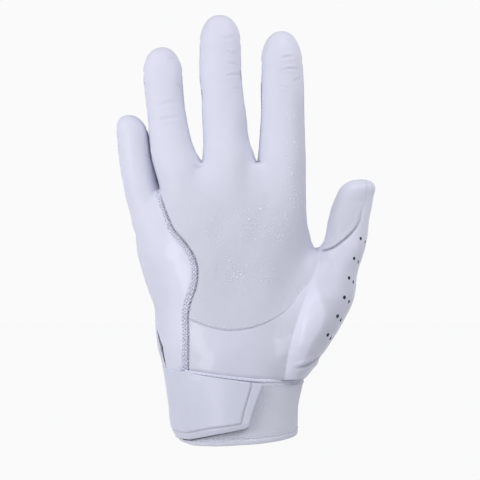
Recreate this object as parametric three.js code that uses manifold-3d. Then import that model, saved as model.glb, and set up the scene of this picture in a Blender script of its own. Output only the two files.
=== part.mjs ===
// A right-hand football glove, empty and filled out as on a hand, palm towards -Y, fingers up.
// Millimetres. +X is the thumb side and +Z runs from the wrist to the fingertips.
// The origin is the centre of the wrist opening, level with the rim of the cuff.
import * as THREE from 'three';
import { mergeVertices } from 'three/addons/utils/BufferGeometryUtils.js';
import Module from 'manifold-3d';

const wasm = await Module();
wasm.setup();

// Overall sizes
const gloveLength = 221;
const palmWidth = 95.5;
const handDepth = 50;
const fingerDepth = 20;

// Cuff
const cuffWidth = 64;
const cuffDepth = 48;
const cuffShift = 1; // the cuff's middle lies this far to the thumb side
const cuffLeft = cuffShift - cuffWidth / 2;
const cuffRight = cuffShift + cuffWidth / 2;
const cuffHeight = 31.8;
const cuffSlant = 0.088; // the cuff's top edge falls by this much for each unit towards the thumb
const cuffInset = 0.8; // the band sits this far inside the palm's outer face
const cuffWall = 1.6;
const hemHeight = 4.2;
const hemFold = 0.7; // the turned hem stands this far outside the band, and as far inside it

// Fabric
const fabricWall = 1.4;
const gap = 0.3; // between neighbouring pieces
const clear = gap / 2;
const gussetWidth = 3.4;
const perforationRadius = 0.65;
const perforationCount = 6;
const ventWidth = 2.2;
const ventHeight = 20;

// Finger side strips
const stripWidth = 7;
const stripTaper = 3.2; // their width where they end, below the fingertip

// Strap
const patchWall = 0.5;
const hookWall = 0.4;
const strapWall = 1.2;
const strapRise = 0.8; // the moulded face stands above its border by this much
const strapBorder = 5.2;
const strapTopClearance = 0.8;
const strapRootX = -20; // on the back, where its sewn root ends
const strapSkew = 6.4; // how far the free end leans back towards its lower corner
const strapReach = 12.8; // the free end's upper corner, from the wrist's centre line
const strapDrop = 6.6; // the free end's lower corner, above the rim
const strapFoot = 1.6; // the strap's lowest edge, above the rim
const strapOverhang = 8; // its outline runs past the cuff's edge by this much
const patchMargin = 6;

// Faceting
const ringStep = 9.5;
const palmSides = 30;
const fingerSides = 16;
const domeRings = 3;
const roundness = 2.35; // exponent of the sections: 2 is an ellipse, more is squarer
const domeFullness = 2.3; // exponent of the fingertips
const overrun = gloveLength; // cutting shapes run past the glove by this much

// Sections, from the wrist upwards. Each row is height as a share of the glove's length,
// left and right as shares of the palm's width, front and back as shares of the hand's depth.
const palmShares = [
  [0.204, -0.414, 0.42, -0.46, 0.44],
  [0.271, -0.438, 0.44, -0.43, 0.4],
  [0.344, -0.473, 0.45, -0.41, 0.36],
  [0.421, -0.527, 0.455, -0.39, 0.33],
  [0.475, -0.545, 0.43, -0.36, 0.31],
  [0.525, -0.571, 0.404, -0.33, 0.29],
  [0.548, -0.57, 0.4, -0.31, 0.28],
  [0.575, -0.4, 0.395, -0.29, 0.27],
  [0.606, -0.35, 0.39, -0.26, 0.25],
  [0.638, -0.2, 0.385, -0.22, 0.21],
  [0.654, -0.12, 0.34, -0.18, 0.16],
];
const thumbShares = [
  [0.15, 0.07, 0.375, -0.43, 0.4],
  [0.204, 0.125, 0.487, -0.49, 0.33],
  [0.271, 0.19, 0.59, -0.53, 0.28],
  [0.339, 0.27, 0.66, -0.52, 0.24],
  [0.398, 0.355, 0.689, -0.46, 0.22],
  [0.443, 0.44, 0.718, -0.39, 0.19],
  [0.48, 0.502, 0.733, -0.34, 0.15],
  [0.511, 0.516, 0.742, -0.32, 0.12],
  [0.543, 0.535, 0.757, -0.3, 0.11],
  [0.566, 0.553, 0.764, -0.29, 0.1],
];
// The fingers' front and back are shares of the finger's depth, as they lean forward a little.
const fingers = [
  {
    name: 'index',
    front: 'grip',
    knuckleShare: 0.674,
    jointShare: 0.798,
    tipShares: [0.962, 0.262, -0.36],
    shares: [
      [0.5, 0.12, 0.404, -0.8, 0.7],
      [0.58, 0.118, 0.396, -0.72, 0.66],
      [0.665, 0.13, 0.392, -0.62, 0.6],
      [0.71, 0.137, 0.389, -0.56, 0.5],
      [0.76, 0.146, 0.386, -0.56, 0.44],
      [0.83, 0.145, 0.384, -0.6, 0.38],
      [0.875, 0.147, 0.378, -0.66, 0.28],
    ],
  },
  {
    name: 'middle',
    front: 'grip',
    knuckleShare: 0.674,
    jointShare: 0.81,
    tipShares: [1, -0.072, -0.4],
    shares: [
      [0.5, -0.19, 0.13, -0.84, 0.74],
      [0.58, -0.186, 0.124, -0.74, 0.68],
      [0.665, -0.17, 0.098, -0.64, 0.6],
      [0.71, -0.174, 0.078, -0.57, 0.52],
      [0.76, -0.178, 0.065, -0.56, 0.46],
      [0.81, -0.184, 0.049, -0.58, 0.42],
      [0.86, -0.192, 0.04, -0.62, 0.36],
      [0.92, -0.191, 0.035, -0.69, 0.24],
    ],
  },
  {
    name: 'ring',
    front: 'grip',
    knuckleShare: 0.656,
    jointShare: 0.776,
    tipShares: [0.924, -0.4, -0.36],
    shares: [
      [0.5, -0.43, -0.16, -0.78, 0.7],
      [0.57, -0.405, -0.15, -0.7, 0.66],
      [0.647, -0.443, -0.182, -0.6, 0.58],
      [0.682, -0.462, -0.22, -0.55, 0.5],
      [0.717, -0.472, -0.246, -0.53, 0.44],
      [0.751, -0.476, -0.262, -0.52, 0.4],
      [0.79, -0.487, -0.276, -0.53, 0.36],
      [0.848, -0.501, -0.293, -0.6, 0.26],
    ],
  },
  {
    name: 'little',
    front: 'smooth',
    knuckleShare: 0.581,
    jointShare: 0.676,
    tipShares: [0.764, -0.58, -0.16],
    shares: [
      [0.46, -0.54, -0.36, -0.5, 0.58],
      [0.53, -0.575, -0.4, -0.46, 0.58],
      [0.575, -0.602, -0.419, -0.42, 0.54],
      [0.625, -0.625, -0.447, -0.4, 0.5],
      [0.66, -0.637, -0.463, -0.39, 0.46],
      [0.7, -0.645, -0.478, -0.4, 0.42],
    ],
  },
];
const thumb = { name: 'thumb', baseShare: 0.4485, jointShare: 0.507, tipShares: [0.612, 0.7, -0.12] };

// Seams on the palm side, as shares of the palm's width and of the glove's length
const gussetShares = [
  [-0.391, 0.58],
  [-0.368, 0.538],
  [-0.342, 0.503],
  [-0.296, 0.474],
  [-0.251, 0.445],
  [-0.229, 0.42],
  [-0.216, 0.395],
  [-0.219, 0.373],
  [-0.236, 0.345],
  [-0.256, 0.322],
  [-0.27, 0.302],
  [-0.277, 0.28],
  [-0.278, 0.22],
  [-0.281, 0.11],
];
const forkShares = [-0.475, 0.7]; // between little and ring finger, above their fork
const gripShares = [
  [-0.34, 0.3],
  [-0.241, 0.279],
  [-0.163, 0.269],
  [-0.093, 0.26],
  [0.003, 0.256],
  [0.097, 0.263],
  [0.179, 0.277],
  [0.261, 0.299],
  [0.325, 0.327],
  [0.382, 0.358],
  [0.42, 0.39],
  [0.449, 0.416],
  [0.458, 0.432],
  [0.47, 0.447],
  [0.56, 0.452],
];
const thumbSeamShares = [
  [0.44, 0.441],
  [0.486, 0.442],
  [0.529, 0.446],
  [0.578, 0.459],
  [0.623, 0.477],
  [0.65, 0.493],
  [0.669, 0.508],
  [0.689, 0.538],
  [0.702, 0.562],
  [0.71, 0.59],
  [0.712, 0.64],
];
const perforationInnerShares = [
  [0.67, 0.47],
  [0.617, 0.378],
  [0.49, 0.247],
];
const perforationOuterShares = [
  [0.7, 0.462],
  [0.638, 0.369],
  [0.508, 0.239],
];
const backSeamShare = 0; // where the palm side ends at the edges of the hand, of its depth
const ventShares = [-0.06, 0.212]; // the vent's middle: depth share and length share
const thumbBackShare = 0.02;

// Points and sections in millimetres
function place([xShare, zShare]) {
  return new THREE.Vector2(xShare * palmWidth, zShare * gloveLength);
}

function rowsFrom(shares, depth) {
  return shares.map(([height, left, right, front, back]) => [
    height * gloveLength,
    left * palmWidth,
    right * palmWidth,
    front * depth,
    back * depth,
  ]);
}

function cuffRows() {
  const waistShare = 0.4;
  const leftFlareShare = 1.075;
  const rightFlareShare = 1.1;
  const deep = cuffDepth / 2;
  return [
    [0, cuffLeft, cuffRight, -deep, deep],
    [cuffHeight * waistShare, cuffLeft, cuffRight, -deep, deep],
    [cuffHeight, cuffLeft * leftFlareShare, cuffRight * rightFlareShare, -deep, deep],
  ];
}

// A smooth row of section values at any height between the first and the last row.
function rowAt(rows, height) {
  let k = 0;
  while (k < rows.length - 2 && rows[k + 1][0] < height) k += 1;
  const [a, b] = [rows[k], rows[k + 1]];
  const before = rows[Math.max(k - 1, 0)];
  const after = rows[Math.min(k + 2, rows.length - 1)];
  const span = b[0] - a[0];
  const t = (height - a[0]) / span;
  return a.map((value, c) => {
    if (c === 0) return height;
    const slopeA = ((b[c] - before[c]) / (b[0] - before[0])) * span;
    const slopeB = ((after[c] - value) / (after[0] - a[0])) * span;
    const rise = t * t * (3 - 2 * t);
    return value * (1 - rise) + b[c] * rise + slopeA * t * (1 - t) ** 2 - slopeB * t * t * (1 - t);
  });
}

// Sections of a limb: evenly spaced rows, then a domed tip where the limb has one.
function sectionsOf(limb, inset) {
  const first = limb.rows[0][0];
  const last = limb.rows.at(-1)[0];
  const count = Math.ceil((last - first) / ringStep);
  const sections = [];
  for (let i = 0; i <= count; i += 1) {
    const [height, left, right, front, back] = rowAt(limb.rows, first + ((last - first) * i) / count);
    sections.push({
      height,
      x: (left + right) / 2,
      y: (front + back) / 2,
      halfWidth: (right - left) / 2 - inset,
      halfDepth: (back - front) / 2 - inset,
    });
  }
  if (!limb.tip) return sections;
  const base = sections.at(-1);
  const tipHeight = limb.tip.height - inset;
  for (let i = 1; i <= domeRings + 1; i += 1) {
    const climb = Math.sin((Math.PI / 2) * (i / (domeRings + 1)));
    const narrow = Math.sqrt(Math.max(0, 1 - climb ** domeFullness));
    sections.push({
      height: base.height + (tipHeight - base.height) * climb,
      x: base.x + (limb.tip.x - base.x) * climb,
      y: base.y + (limb.tip.y - base.y) * climb,
      halfWidth: base.halfWidth * narrow,
      halfDepth: base.halfDepth * narrow,
    });
  }
  return sections;
}

// A closed loft through horizontal sections.
function loft(sections, sides) {
  const positions = [];
  const faces = [];
  const power = 2 / roundness;
  for (const { height, x, y, halfWidth, halfDepth } of sections) {
    for (let i = 0; i < sides; i += 1) {
      const turn = (2 * Math.PI * (i + 0.5)) / sides;
      const across = Math.sign(Math.cos(turn)) * Math.abs(Math.cos(turn)) ** power;
      const deep = Math.sign(Math.sin(turn)) * Math.abs(Math.sin(turn)) ** power;
      positions.push(x + halfWidth * across, y + halfDepth * deep, height);
    }
  }
  for (let k = 0; k < sections.length - 1; k += 1) {
    for (let i = 0; i < sides; i += 1) {
      const a = k * sides + i;
      const b = k * sides + ((i + 1) % sides);
      faces.push(a, b, b + sides, a, b + sides, a + sides);
    }
  }
  const first = sections[0];
  const last = sections.at(-1);
  const centre = positions.length / 3;
  positions.push(first.x, first.y, first.height, last.x, last.y, last.height);
  const top = (sections.length - 1) * sides;
  for (let i = 0; i < sides; i += 1) {
    const next = (i + 1) % sides;
    faces.push(centre, next, i, centre + 1, top + i, top + next);
  }
  const geometry = new THREE.BufferGeometry();
  geometry.setAttribute('position', new THREE.Float32BufferAttribute(positions, 3));
  geometry.setIndex(faces);
  return solidFrom(geometry);
}

// Between three.js geometry and solids that can be cut and joined
function solidFrom(geometry) {
  const bare = geometry.clone();
  bare.deleteAttribute('normal');
  bare.deleteAttribute('uv');
  const merged = mergeVertices(bare);
  return new wasm.Manifold(
    new wasm.Mesh({
      numProp: 3,
      vertProperties: merged.attributes.position.array,
      triVerts: new Uint32Array(merged.index.array),
    }),
  );
}

function geometryFrom(solid) {
  const { vertProperties, triVerts } = solid.getMesh();
  const geometry = new THREE.BufferGeometry();
  geometry.setAttribute('position', new THREE.Float32BufferAttribute(vertProperties, 3));
  geometry.setIndex(Array.from(triVerts));
  return geometry;
}

const join = (solids) => solids.reduce((whole, solid) => whole.add(solid));

// A block seen from the palm side as the outline, from the nearer to the farther depth.
function frontBlock(outline, near, far) {
  const geometry = new THREE.ExtrudeGeometry(new THREE.Shape(outline), {
    depth: far - near,
    bevelEnabled: false,
  });
  const right = new THREE.Vector3(1, 0, 0);
  const up = new THREE.Vector3(0, 0, 1);
  const towards = new THREE.Vector3(0, -1, 0);
  geometry.applyMatrix4(new THREE.Matrix4().makeBasis(right, up, towards));
  geometry.translate(0, far, 0);
  return solidFrom(geometry);
}

// A block seen from the thumb side as the outline, whose points are depth and height.
function sideBlock(outline, left, right) {
  const geometry = new THREE.ExtrudeGeometry(new THREE.Shape(outline), {
    depth: right - left,
    bevelEnabled: false,
  });
  const deep = new THREE.Vector3(0, 1, 0);
  const up = new THREE.Vector3(0, 0, 1);
  const across = new THREE.Vector3(1, 0, 0);
  geometry.applyMatrix4(new THREE.Matrix4().makeBasis(deep, up, across));
  geometry.translate(left, 0, 0);
  return solidFrom(geometry);
}

function box(low, high) {
  const size = high.clone().sub(low);
  const middle = high.clone().add(low).divideScalar(2);
  const geometry = new THREE.BoxGeometry(size.x, size.y, size.z);
  geometry.translate(middle.x, middle.y, middle.z);
  return solidFrom(geometry);
}

function slab(limits) {
  const whole = { bottom: -overrun, top: overrun, left: -overrun, right: overrun, near: -overrun, far: overrun };
  const { bottom, top, left, right, near, far } = { ...whole, ...limits };
  return box(new THREE.Vector3(left, near, bottom), new THREE.Vector3(right, far, top));
}

// A smooth seam through its places, and the same seam moved sideways.
function seam(shares, steps) {
  return new THREE.SplineCurve(shares.map(place)).getPoints(steps);
}

function beside(points, distance) {
  return points.map((point, i) => {
    const before = points[Math.max(i - 1, 0)];
    const after = points[Math.min(i + 1, points.length - 1)];
    const along = after.clone().sub(before).normalize();
    return new THREE.Vector2(point.x - along.y * distance, point.y + along.x * distance);
  });
}

// Limbs
const palmLimb = { rows: [...cuffRows(), ...rowsFrom(palmShares, handDepth)], sides: palmSides };

function tipFrom([heightShare, xShare, yShare], depth) {
  return { height: heightShare * gloveLength, x: xShare * palmWidth, y: yShare * depth };
}

for (const finger of fingers) {
  finger.rows = rowsFrom(finger.shares, fingerDepth);
  finger.tip = tipFrom(finger.tipShares, fingerDepth);
  finger.sides = fingerSides;
  finger.knuckle = finger.knuckleShare * gloveLength;
  finger.joint = finger.jointShare * gloveLength;
}
thumb.rows = rowsFrom(thumbShares, handDepth);
thumb.tip = tipFrom(thumb.tipShares, handDepth);
thumb.sides = fingerSides;
thumb.knuckle = thumb.baseShare * gloveLength;
thumb.joint = thumb.jointShare * gloveLength;

const bodyOf = (limb, inset) => loft(sectionsOf(limb, inset), limb.sides);
const layer = (limb, outer, inner) => bodyOf(limb, outer).subtract(bodyOf(limb, inner));

// The skin of the hand below the knuckles: one hollow of palm, thumb root and finger roots.
function handSkin() {
  const whole = (inset) =>
    join([
      bodyOf(palmLimb, inset),
      ...[...fingers, thumb].map((limb) =>
        bodyOf(limb, inset).intersect(slab({ top: limb.knuckle - clear + (inset > 0 ? gap : 0) })),
      ),
    ]);
  return whole(0).subtract(whole(fabricWall));
}

// Hand
const parts = [];

function part(name, solid, finish) {
  parts.push({ name, solid, finish });
}

const finishes = {
  grip: new THREE.MeshStandardMaterial({ color: 0xdcdeeb, roughness: 0.7 }),
  smooth: new THREE.MeshStandardMaterial({ color: 0xe2e4f2, roughness: 0.28 }),
  knit: new THREE.MeshStandardMaterial({ color: 0xc3c5d6, roughness: 0.9 }),
  stretch: new THREE.MeshStandardMaterial({ color: 0xdddfed, roughness: 0.8 }),
  band: new THREE.MeshStandardMaterial({ color: 0xc6c8d6, roughness: 0.85 }),
  moulded: new THREE.MeshStandardMaterial({ color: 0xd8daea, roughness: 0.45 }),
  loop: new THREE.MeshStandardMaterial({ color: 0xcfd1de, roughness: 0.95 }),
};

const far = overrun;
const corner = (x, z) => new THREE.Vector2(x, z);
const cuffTopAt = (x) => cuffHeight - cuffSlant * x;

// Everything above or below the slanted edge between palm and cuff, moved up or down by a little.
function aboveCuff(lift) {
  const line = [corner(-far, cuffTopAt(-far) + lift), corner(far, cuffTopAt(far) + lift)];
  return frontBlock([...line, corner(far, far), corner(-far, far)], -far, far);
}

function makeHand() {
  const skin = handSkin().intersect(aboveCuff(clear));
  const backSeam = backSeamShare * handDepth;
  const front = skin.intersect(slab({ far: backSeam - clear }));
  part('back_panel', skin.intersect(slab({ near: backSeam + clear })), finishes.stretch);

  const gussetSteps = 26;
  const gusset = seam(gussetShares, gussetSteps);
  const littleEdge = beside(gusset, -gussetWidth / 2 - clear);
  const gripEdge = beside(gusset, gussetWidth / 2 + clear);
  const gussetEdges = [
    ...beside(gusset, gussetWidth / 2 - clear),
    ...beside(gusset, -gussetWidth / 2 + clear).reverse(),
  ];
  // The gusset runs from the fork of ring and little finger down to the cuff.
  const fork = place(forkShares);
  const above = [corner(fork.x, far), fork];
  const littleFoot = corner(littleEdge.at(-1).x, -far);
  const littleSide = [...littleEdge, littleFoot, corner(-far, -far), corner(-far, far)];
  const little = frontBlock([...above, ...littleSide], -far, far);
  const gripFoot = corner(gripEdge.at(-1).x, -far);
  const gripSide = [...gripEdge, gripFoot, corner(far, -far), corner(far, far)];
  const grip = frontBlock([...above, ...gripSide], -far, far);

  const vent = ventSlot();
  part('little_side_panel', front.intersect(little).subtract(vent), finishes.smooth);
  part('gusset_strip', front.intersect(frontBlock(gussetEdges, -far, far)), finishes.knit);

  const gripSteps = 30;
  const curve = seam(gripShares, gripSteps);
  const edge = curve.at(-1).y;
  const overCurve = [...beside(curve, clear), corner(far, edge + clear)];
  const underCurve = [...beside(curve, -clear), corner(far, edge - clear)];
  const aboveCurve = [...overCurve, corner(far, far), corner(-far, far)];
  const belowCurve = [...underCurve, corner(far, -far), corner(-far, -far)];
  const upper = frontBlock(aboveCurve, -far, far);
  const lower = frontBlock(belowCurve, -far, far);
  const palm = front.intersect(grip);
  part('grip_palm_panel', palm.intersect(upper), finishes.grip);
  part('smooth_palm_panel', palm.intersect(lower).subtract(perforations()), finishes.smooth);
}

// The slot between palm side and back at the outer edge of the wrist.
function ventSlot() {
  const curveSteps = 6;
  const middle = corner(ventShares[0] * handDepth, ventShares[1] * gloveLength);
  const lens = new THREE.Shape();
  lens.moveTo(middle.x, middle.y - ventHeight / 2);
  lens.quadraticCurveTo(middle.x - ventWidth, middle.y, middle.x, middle.y + ventHeight / 2);
  lens.quadraticCurveTo(middle.x + ventWidth, middle.y, middle.x, middle.y - ventHeight / 2);
  return sideBlock(lens.getPoints(curveSteps), -far, 0);
}

// Two rows of small round holes down the outer side of the thumb.
function perforations() {
  const holes = [];
  const sides = 6;
  for (const shares of [perforationInnerShares, perforationOuterShares]) {
    const row = new THREE.SplineCurve(shares.map(place));
    for (let i = 0; i < perforationCount; i += 1) {
      const middle = row.getPoint(i / (perforationCount - 1));
      const hole = new THREE.CylinderGeometry(perforationRadius, perforationRadius, far, sides);
      hole.translate(middle.x, -far / 2, middle.y);
      holes.push(solidFrom(hole));
    }
  }
  return join(holes);
}

// Fingers: each segment is a tube of a front, a back and two side strips.
function segmentSkin(limb, bottom, top) {
  return layer(limb, 0, fabricWall).intersect(slab({ bottom, top }));
}

function sideOutlines(finger) {
  const heights = [];
  const from = finger.knuckle - fingerDepth;
  const to = finger.rows.at(-1)[0];
  const steps = 4;
  for (let i = 0; i <= steps; i += 1) heights.push(from + ((to - from) * i) / steps);
  const half = (height) => stripWidth / 2 - ((stripWidth - stripTaper) / 2) * ((height - from) / (to - from));
  const middle = (height) => {
    const row = rowAt(finger.rows, height);
    return (row[3] + row[4]) / 2;
  };
  const edge = (shift) => heights.map((height) => corner(middle(height) + shift(height), height));
  const frontEdge = edge((height) => -half(height));
  const backEdge = edge((height) => half(height));
  return { frontEdge, backEdge, bottom: from, top: to };
}

function makeFinger(finger) {
  const { frontEdge, backEdge, bottom, top } = sideOutlines(finger);
  const moved = (points, shift) => points.map((p) => corner(p.x + shift, p.y));
  const strip = sideBlock([...moved(frontEdge, clear), ...moved(backEdge, -clear).reverse()], -far, far);
  const backLine = moved(backEdge, clear);
  const behind = sideBlock([corner(far, bottom), ...backLine, corner(far, top)], -far, far);
  const ahead = sideBlock(
    [
      corner(-far, bottom),
      ...moved(frontEdge, -clear),
      corner(frontEdge.at(-1).x - clear, top + gap),
      corner(far, top + gap),
      corner(far, far),
      corner(-far, far),
    ],
    -far,
    far,
  );
  const centre = finger.rows.map((row) => (row[1] + row[2]) / 2);
  const middleX = centre.reduce((sum, x) => sum + x, 0) / centre.length;
  const segments = [
    ['lower', finger.knuckle + clear, finger.joint - clear],
    ['upper', finger.joint + clear, far],
  ];
  for (const [segment, low, high] of segments) {
    const skin = segmentSkin(finger, low, high);
    const sides = skin.intersect(strip);
    part(`${finger.name}_${segment}_front`, skin.intersect(ahead), finishes[finger.front]);
    part(`${finger.name}_${segment}_back`, skin.intersect(behind), finishes.stretch);
    part(`${finger.name}_${segment}_left_strip`, sides.intersect(slab({ right: middleX })), finishes.knit);
    part(`${finger.name}_${segment}_right_strip`, sides.intersect(slab({ left: middleX })), finishes.knit);
  }
}

// Thumb: a pad inside the curved seam, an outer panel beside it and a back.
function makeThumb() {
  const seamSteps = 16;
  const curve = seam(thumbSeamShares, seamSteps);
  const inner = frontBlock([...beside(curve, clear), corner(-far, far), corner(-far, 0)], -far, far);
  const outer = frontBlock([...beside(curve, -clear), corner(far, far), corner(far, 0)], -far, far);
  const backSeam = thumbBackShare * handDepth;
  const front = slab({ far: backSeam - clear });
  const back = slab({ near: backSeam + clear });
  const holes = perforations();
  const segments = [
    ['lower', thumb.knuckle + clear, thumb.joint - clear],
    ['upper', thumb.joint + clear, far],
  ];
  for (const [segment, low, high] of segments) {
    const skin = segmentSkin(thumb, low, high);
    part(`thumb_${segment}_pad`, skin.intersect(front).intersect(inner), finishes.grip);
    part(`thumb_${segment}_outer`, skin.intersect(front).intersect(outer).subtract(holes), finishes.smooth);
    part(`thumb_${segment}_back`, skin.intersect(back), finishes.stretch);
  }
}

// Cuff
function makeCuff() {
  const under = slab({}).subtract(aboveCuff(-clear));
  const band = layer(palmLimb, cuffInset, cuffInset + cuffWall);
  part('cuff_band', band.intersect(under).intersect(slab({ bottom: hemHeight + clear })), finishes.band);
  const hem = layer(palmLimb, cuffInset - hemFold, cuffInset + cuffWall + hemFold);
  part('cuff_hem', hem.intersect(slab({ bottom: 0, top: hemHeight - clear })), finishes.band);
}

// Strap: sewn down at the back of the little-finger side, free from that edge to its end
function strapOutline(left, inset) {
  const right = strapReach - inset;
  return [
    corner(left, cuffTopAt(left) - strapTopClearance - inset),
    corner(right, cuffTopAt(right) - strapTopClearance - inset),
    corner(right - strapSkew, strapDrop + inset),
    corner((left + right) / 2, (strapDrop + strapFoot) / 2 + inset),
    corner(left, strapFoot + inset),
  ];
}

function makeStrap() {
  const patchFace = cuffInset - hemFold - gap;
  const hookFace = patchFace - patchWall - gap;
  const strapBase = hookFace - hookWall - gap;
  const strapFace = strapBase - strapWall;
  const moulded = strapFace - strapRise;
  const left = cuffLeft - strapOverhang;
  const patch = frontBlock(strapOutline(cuffLeft + patchMargin, patchMargin), -far, 0);
  part('loop_patch', layer(palmLimb, patchFace - patchWall, patchFace).intersect(patch), finishes.loop);
  part('hook_patch', layer(palmLimb, hookFace - hookWall, hookFace).intersect(patch), finishes.loop);

  const tab = frontBlock(strapOutline(left, 0), -far, -clear);
  const face = frontBlock(strapOutline(cuffLeft + strapBorder, strapBorder), -far, -clear);
  const base = layer(palmLimb, strapFace, strapBase).intersect(tab);
  const raised = layer(palmLimb, moulded, strapBase).intersect(face);
  part('strap_tab', base.add(raised), finishes.moulded);

  const root = slab({ right: strapRootX, near: clear, bottom: strapFoot });
  const under = slab({}).subtract(aboveCuff(-strapTopClearance));
  const anchor = layer(palmLimb, strapFace, patchFace).intersect(root).intersect(under);
  part('strap_anchor', anchor, finishes.moulded);
}

makeHand();
makeCuff();
makeStrap();
for (const finger of fingers) makeFinger(finger);
makeThumb();

const glove = new THREE.Group();
for (const { name, solid, finish } of parts) {
  const mesh = new THREE.Mesh(geometryFrom(solid), finish.clone());
  mesh.name = name;
  glove.add(mesh);
}

export default glove;
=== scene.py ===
# %% [markdown]
# A football glove for the right hand, seen on its palm side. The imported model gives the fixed
# frame: where each joint turns and which solid each piece of fabric stands for. This lesson
# shapes the fabric as one smooth body, cuts it along its seams into panels, and dresses them.

# %% Frame
import math
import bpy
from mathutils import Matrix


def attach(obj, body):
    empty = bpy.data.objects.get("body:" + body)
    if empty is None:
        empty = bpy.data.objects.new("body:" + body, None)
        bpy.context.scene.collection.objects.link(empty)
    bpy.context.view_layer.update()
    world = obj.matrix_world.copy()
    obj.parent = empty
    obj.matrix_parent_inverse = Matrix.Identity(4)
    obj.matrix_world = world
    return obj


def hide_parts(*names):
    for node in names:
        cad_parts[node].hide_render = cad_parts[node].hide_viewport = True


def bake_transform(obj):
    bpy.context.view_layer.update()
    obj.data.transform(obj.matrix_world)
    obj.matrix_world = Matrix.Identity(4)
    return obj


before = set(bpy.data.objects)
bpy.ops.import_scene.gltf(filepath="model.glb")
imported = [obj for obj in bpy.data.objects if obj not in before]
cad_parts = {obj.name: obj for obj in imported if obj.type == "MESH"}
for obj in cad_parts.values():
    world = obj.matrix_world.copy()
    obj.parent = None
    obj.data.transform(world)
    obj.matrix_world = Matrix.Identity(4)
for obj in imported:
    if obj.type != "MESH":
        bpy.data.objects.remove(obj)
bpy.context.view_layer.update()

from types import SimpleNamespace

import bpy
import numpy as np
from mathutils import Vector

MM = 0.001

# %% [markdown]
# The photograph is taken from straight in front of the palm with a long lens. One function turns a
# pixel into a place at a known depth, and one turns a place into its pixel, so outlines and seams
# can be read off the photograph in pixels and still land on the real surface, in millimetres.

# %% Camera geometry
IMAGE = 480
MIDDLE_PX = IMAGE / 2
FOCAL_PX = 1233.4
EYE = np.array([2.9, -650.0, 103.0])
SENSOR = 36.0
PALM_MM_PER_PX = 0.52
CUFF_MM_PER_PX = 0.508


def from_pixel(px, py, depth):
    """The point at this depth that the photograph shows at the pixel."""
    scale = (np.asarray(depth, float) - EYE[1]) / FOCAL_PX
    x = EYE[0] + (np.asarray(px) - MIDDLE_PX) * scale
    z = EYE[2] + (MIDDLE_PX - np.asarray(py)) * scale
    return np.stack(np.broadcast_arrays(x, depth, z), axis=-1)


def to_pixel(points):
    """Where each point shows in the photograph."""
    scale = FOCAL_PX / (points[:, 1] - EYE[1])
    px = MIDDLE_PX + (points[:, 0] - EYE[0]) * scale
    py = MIDDLE_PX - (points[:, 2] - EYE[2]) * scale
    return np.stack([px, py], axis=1)


print("millimetres to a pixel at the palm", round(-EYE[1] / FOCAL_PX, 3))

# %% [markdown]
# A hand is a palm, four fingers and a thumb. Each is a limb: a stack of rounded sections whose
# left and right edges are read off the photograph, row by row, and whose front and back come from
# how thick such a hand is. Sections are superellipses, a little squarer than an ellipse. Between
# the rows everything follows smooth curves, and a limb that ends has a domed tip.

# %% Limb sections
ROUNDNESS = 2.35
DOME = 2.25
TABLE_STEP = 0.5

# (height in pixels, left edge, right edge) of each limb in the photograph
EDGES_PX = {
    "palm": [
        (446, 176.5, 296), (434, 173.6, 297), (420, 170.4, 298.2), (405, 169, 299),
        (390, 167, 301.8), (378, 165.3, 304), (365, 163, 304.5), (347, 158, 306), (329, 156, 308),
        (306, 154, 308), (290, 149, 308), (273, 144, 308), (259, 139, 307), (244, 136.6, 305.5),
        (230, 136.5, 304.5), (218, 139, 303),
        (208, 144, 302), (198, 151, 301), (189, 160, 299), (180, 171, 296), (172, 184, 291),
    ],
    "index": [
        (260, 264, 313), (240, 262, 311), (225, 261, 307.6), (212, 260, 306.2), (200, 259.5, 305.9),
        (175, 259, 305.8), (156, 258.3, 305.4), (138, 259.4, 304.9), (116, 261, 304.5),
        (85, 260.7, 303.9), (71, 261.8, 303),
    ],
    "middle": [
        (240, 198, 258), (200, 199, 259), (175, 201, 258.5), (160, 202.8, 255), (138, 203, 248.7),
        (116, 202.2, 246.4), (96, 201.3, 243.6), (79, 199.6, 241.7), (50, 199.9, 240.8),
    ],
    "ring": [
        (240, 160, 206), (210, 160, 205), (188, 160.7, 203.5), (175, 157.2, 202.8), (164, 154, 202),
        (149.5, 150.7, 194.6), (135, 149, 190), (120, 148.3, 187), (105, 146.2, 184.8), (82, 143.5, 182.5),
    ],
    "little": [
        (240, 138.5, 171), (228, 133.6, 168.5), (215, 130.6, 166.4), (198, 126, 162), (190, 124.5, 159.4),
        (186, 123.7, 157.8), (174, 121.4, 154.8), (160, 119.5, 152.2), (137, 117.4, 149.2),
    ],
    "thumb": [
        (400, 244, 299), (385, 245, 302), (370, 250, 310), (354.5, 258, 320), (338, 266, 331),
        (319, 278, 343), (306, 286, 350), (293, 293, 354.5), (272, 304, 357.6), (249, 320.5, 364.5),
        (236.5, 325, 367), (221, 328, 368.6), (205, 332.4, 372), (194, 337.2, 374.2),
    ],
}
TIPS_PX = {
    "palm": (237.5, 163), "index": (281.2, 32), "middle": (220, 16), "ring": (162.5, 48),
    "little": (128.8, 115), "thumb": (361.5, 179.2),
}
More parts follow.
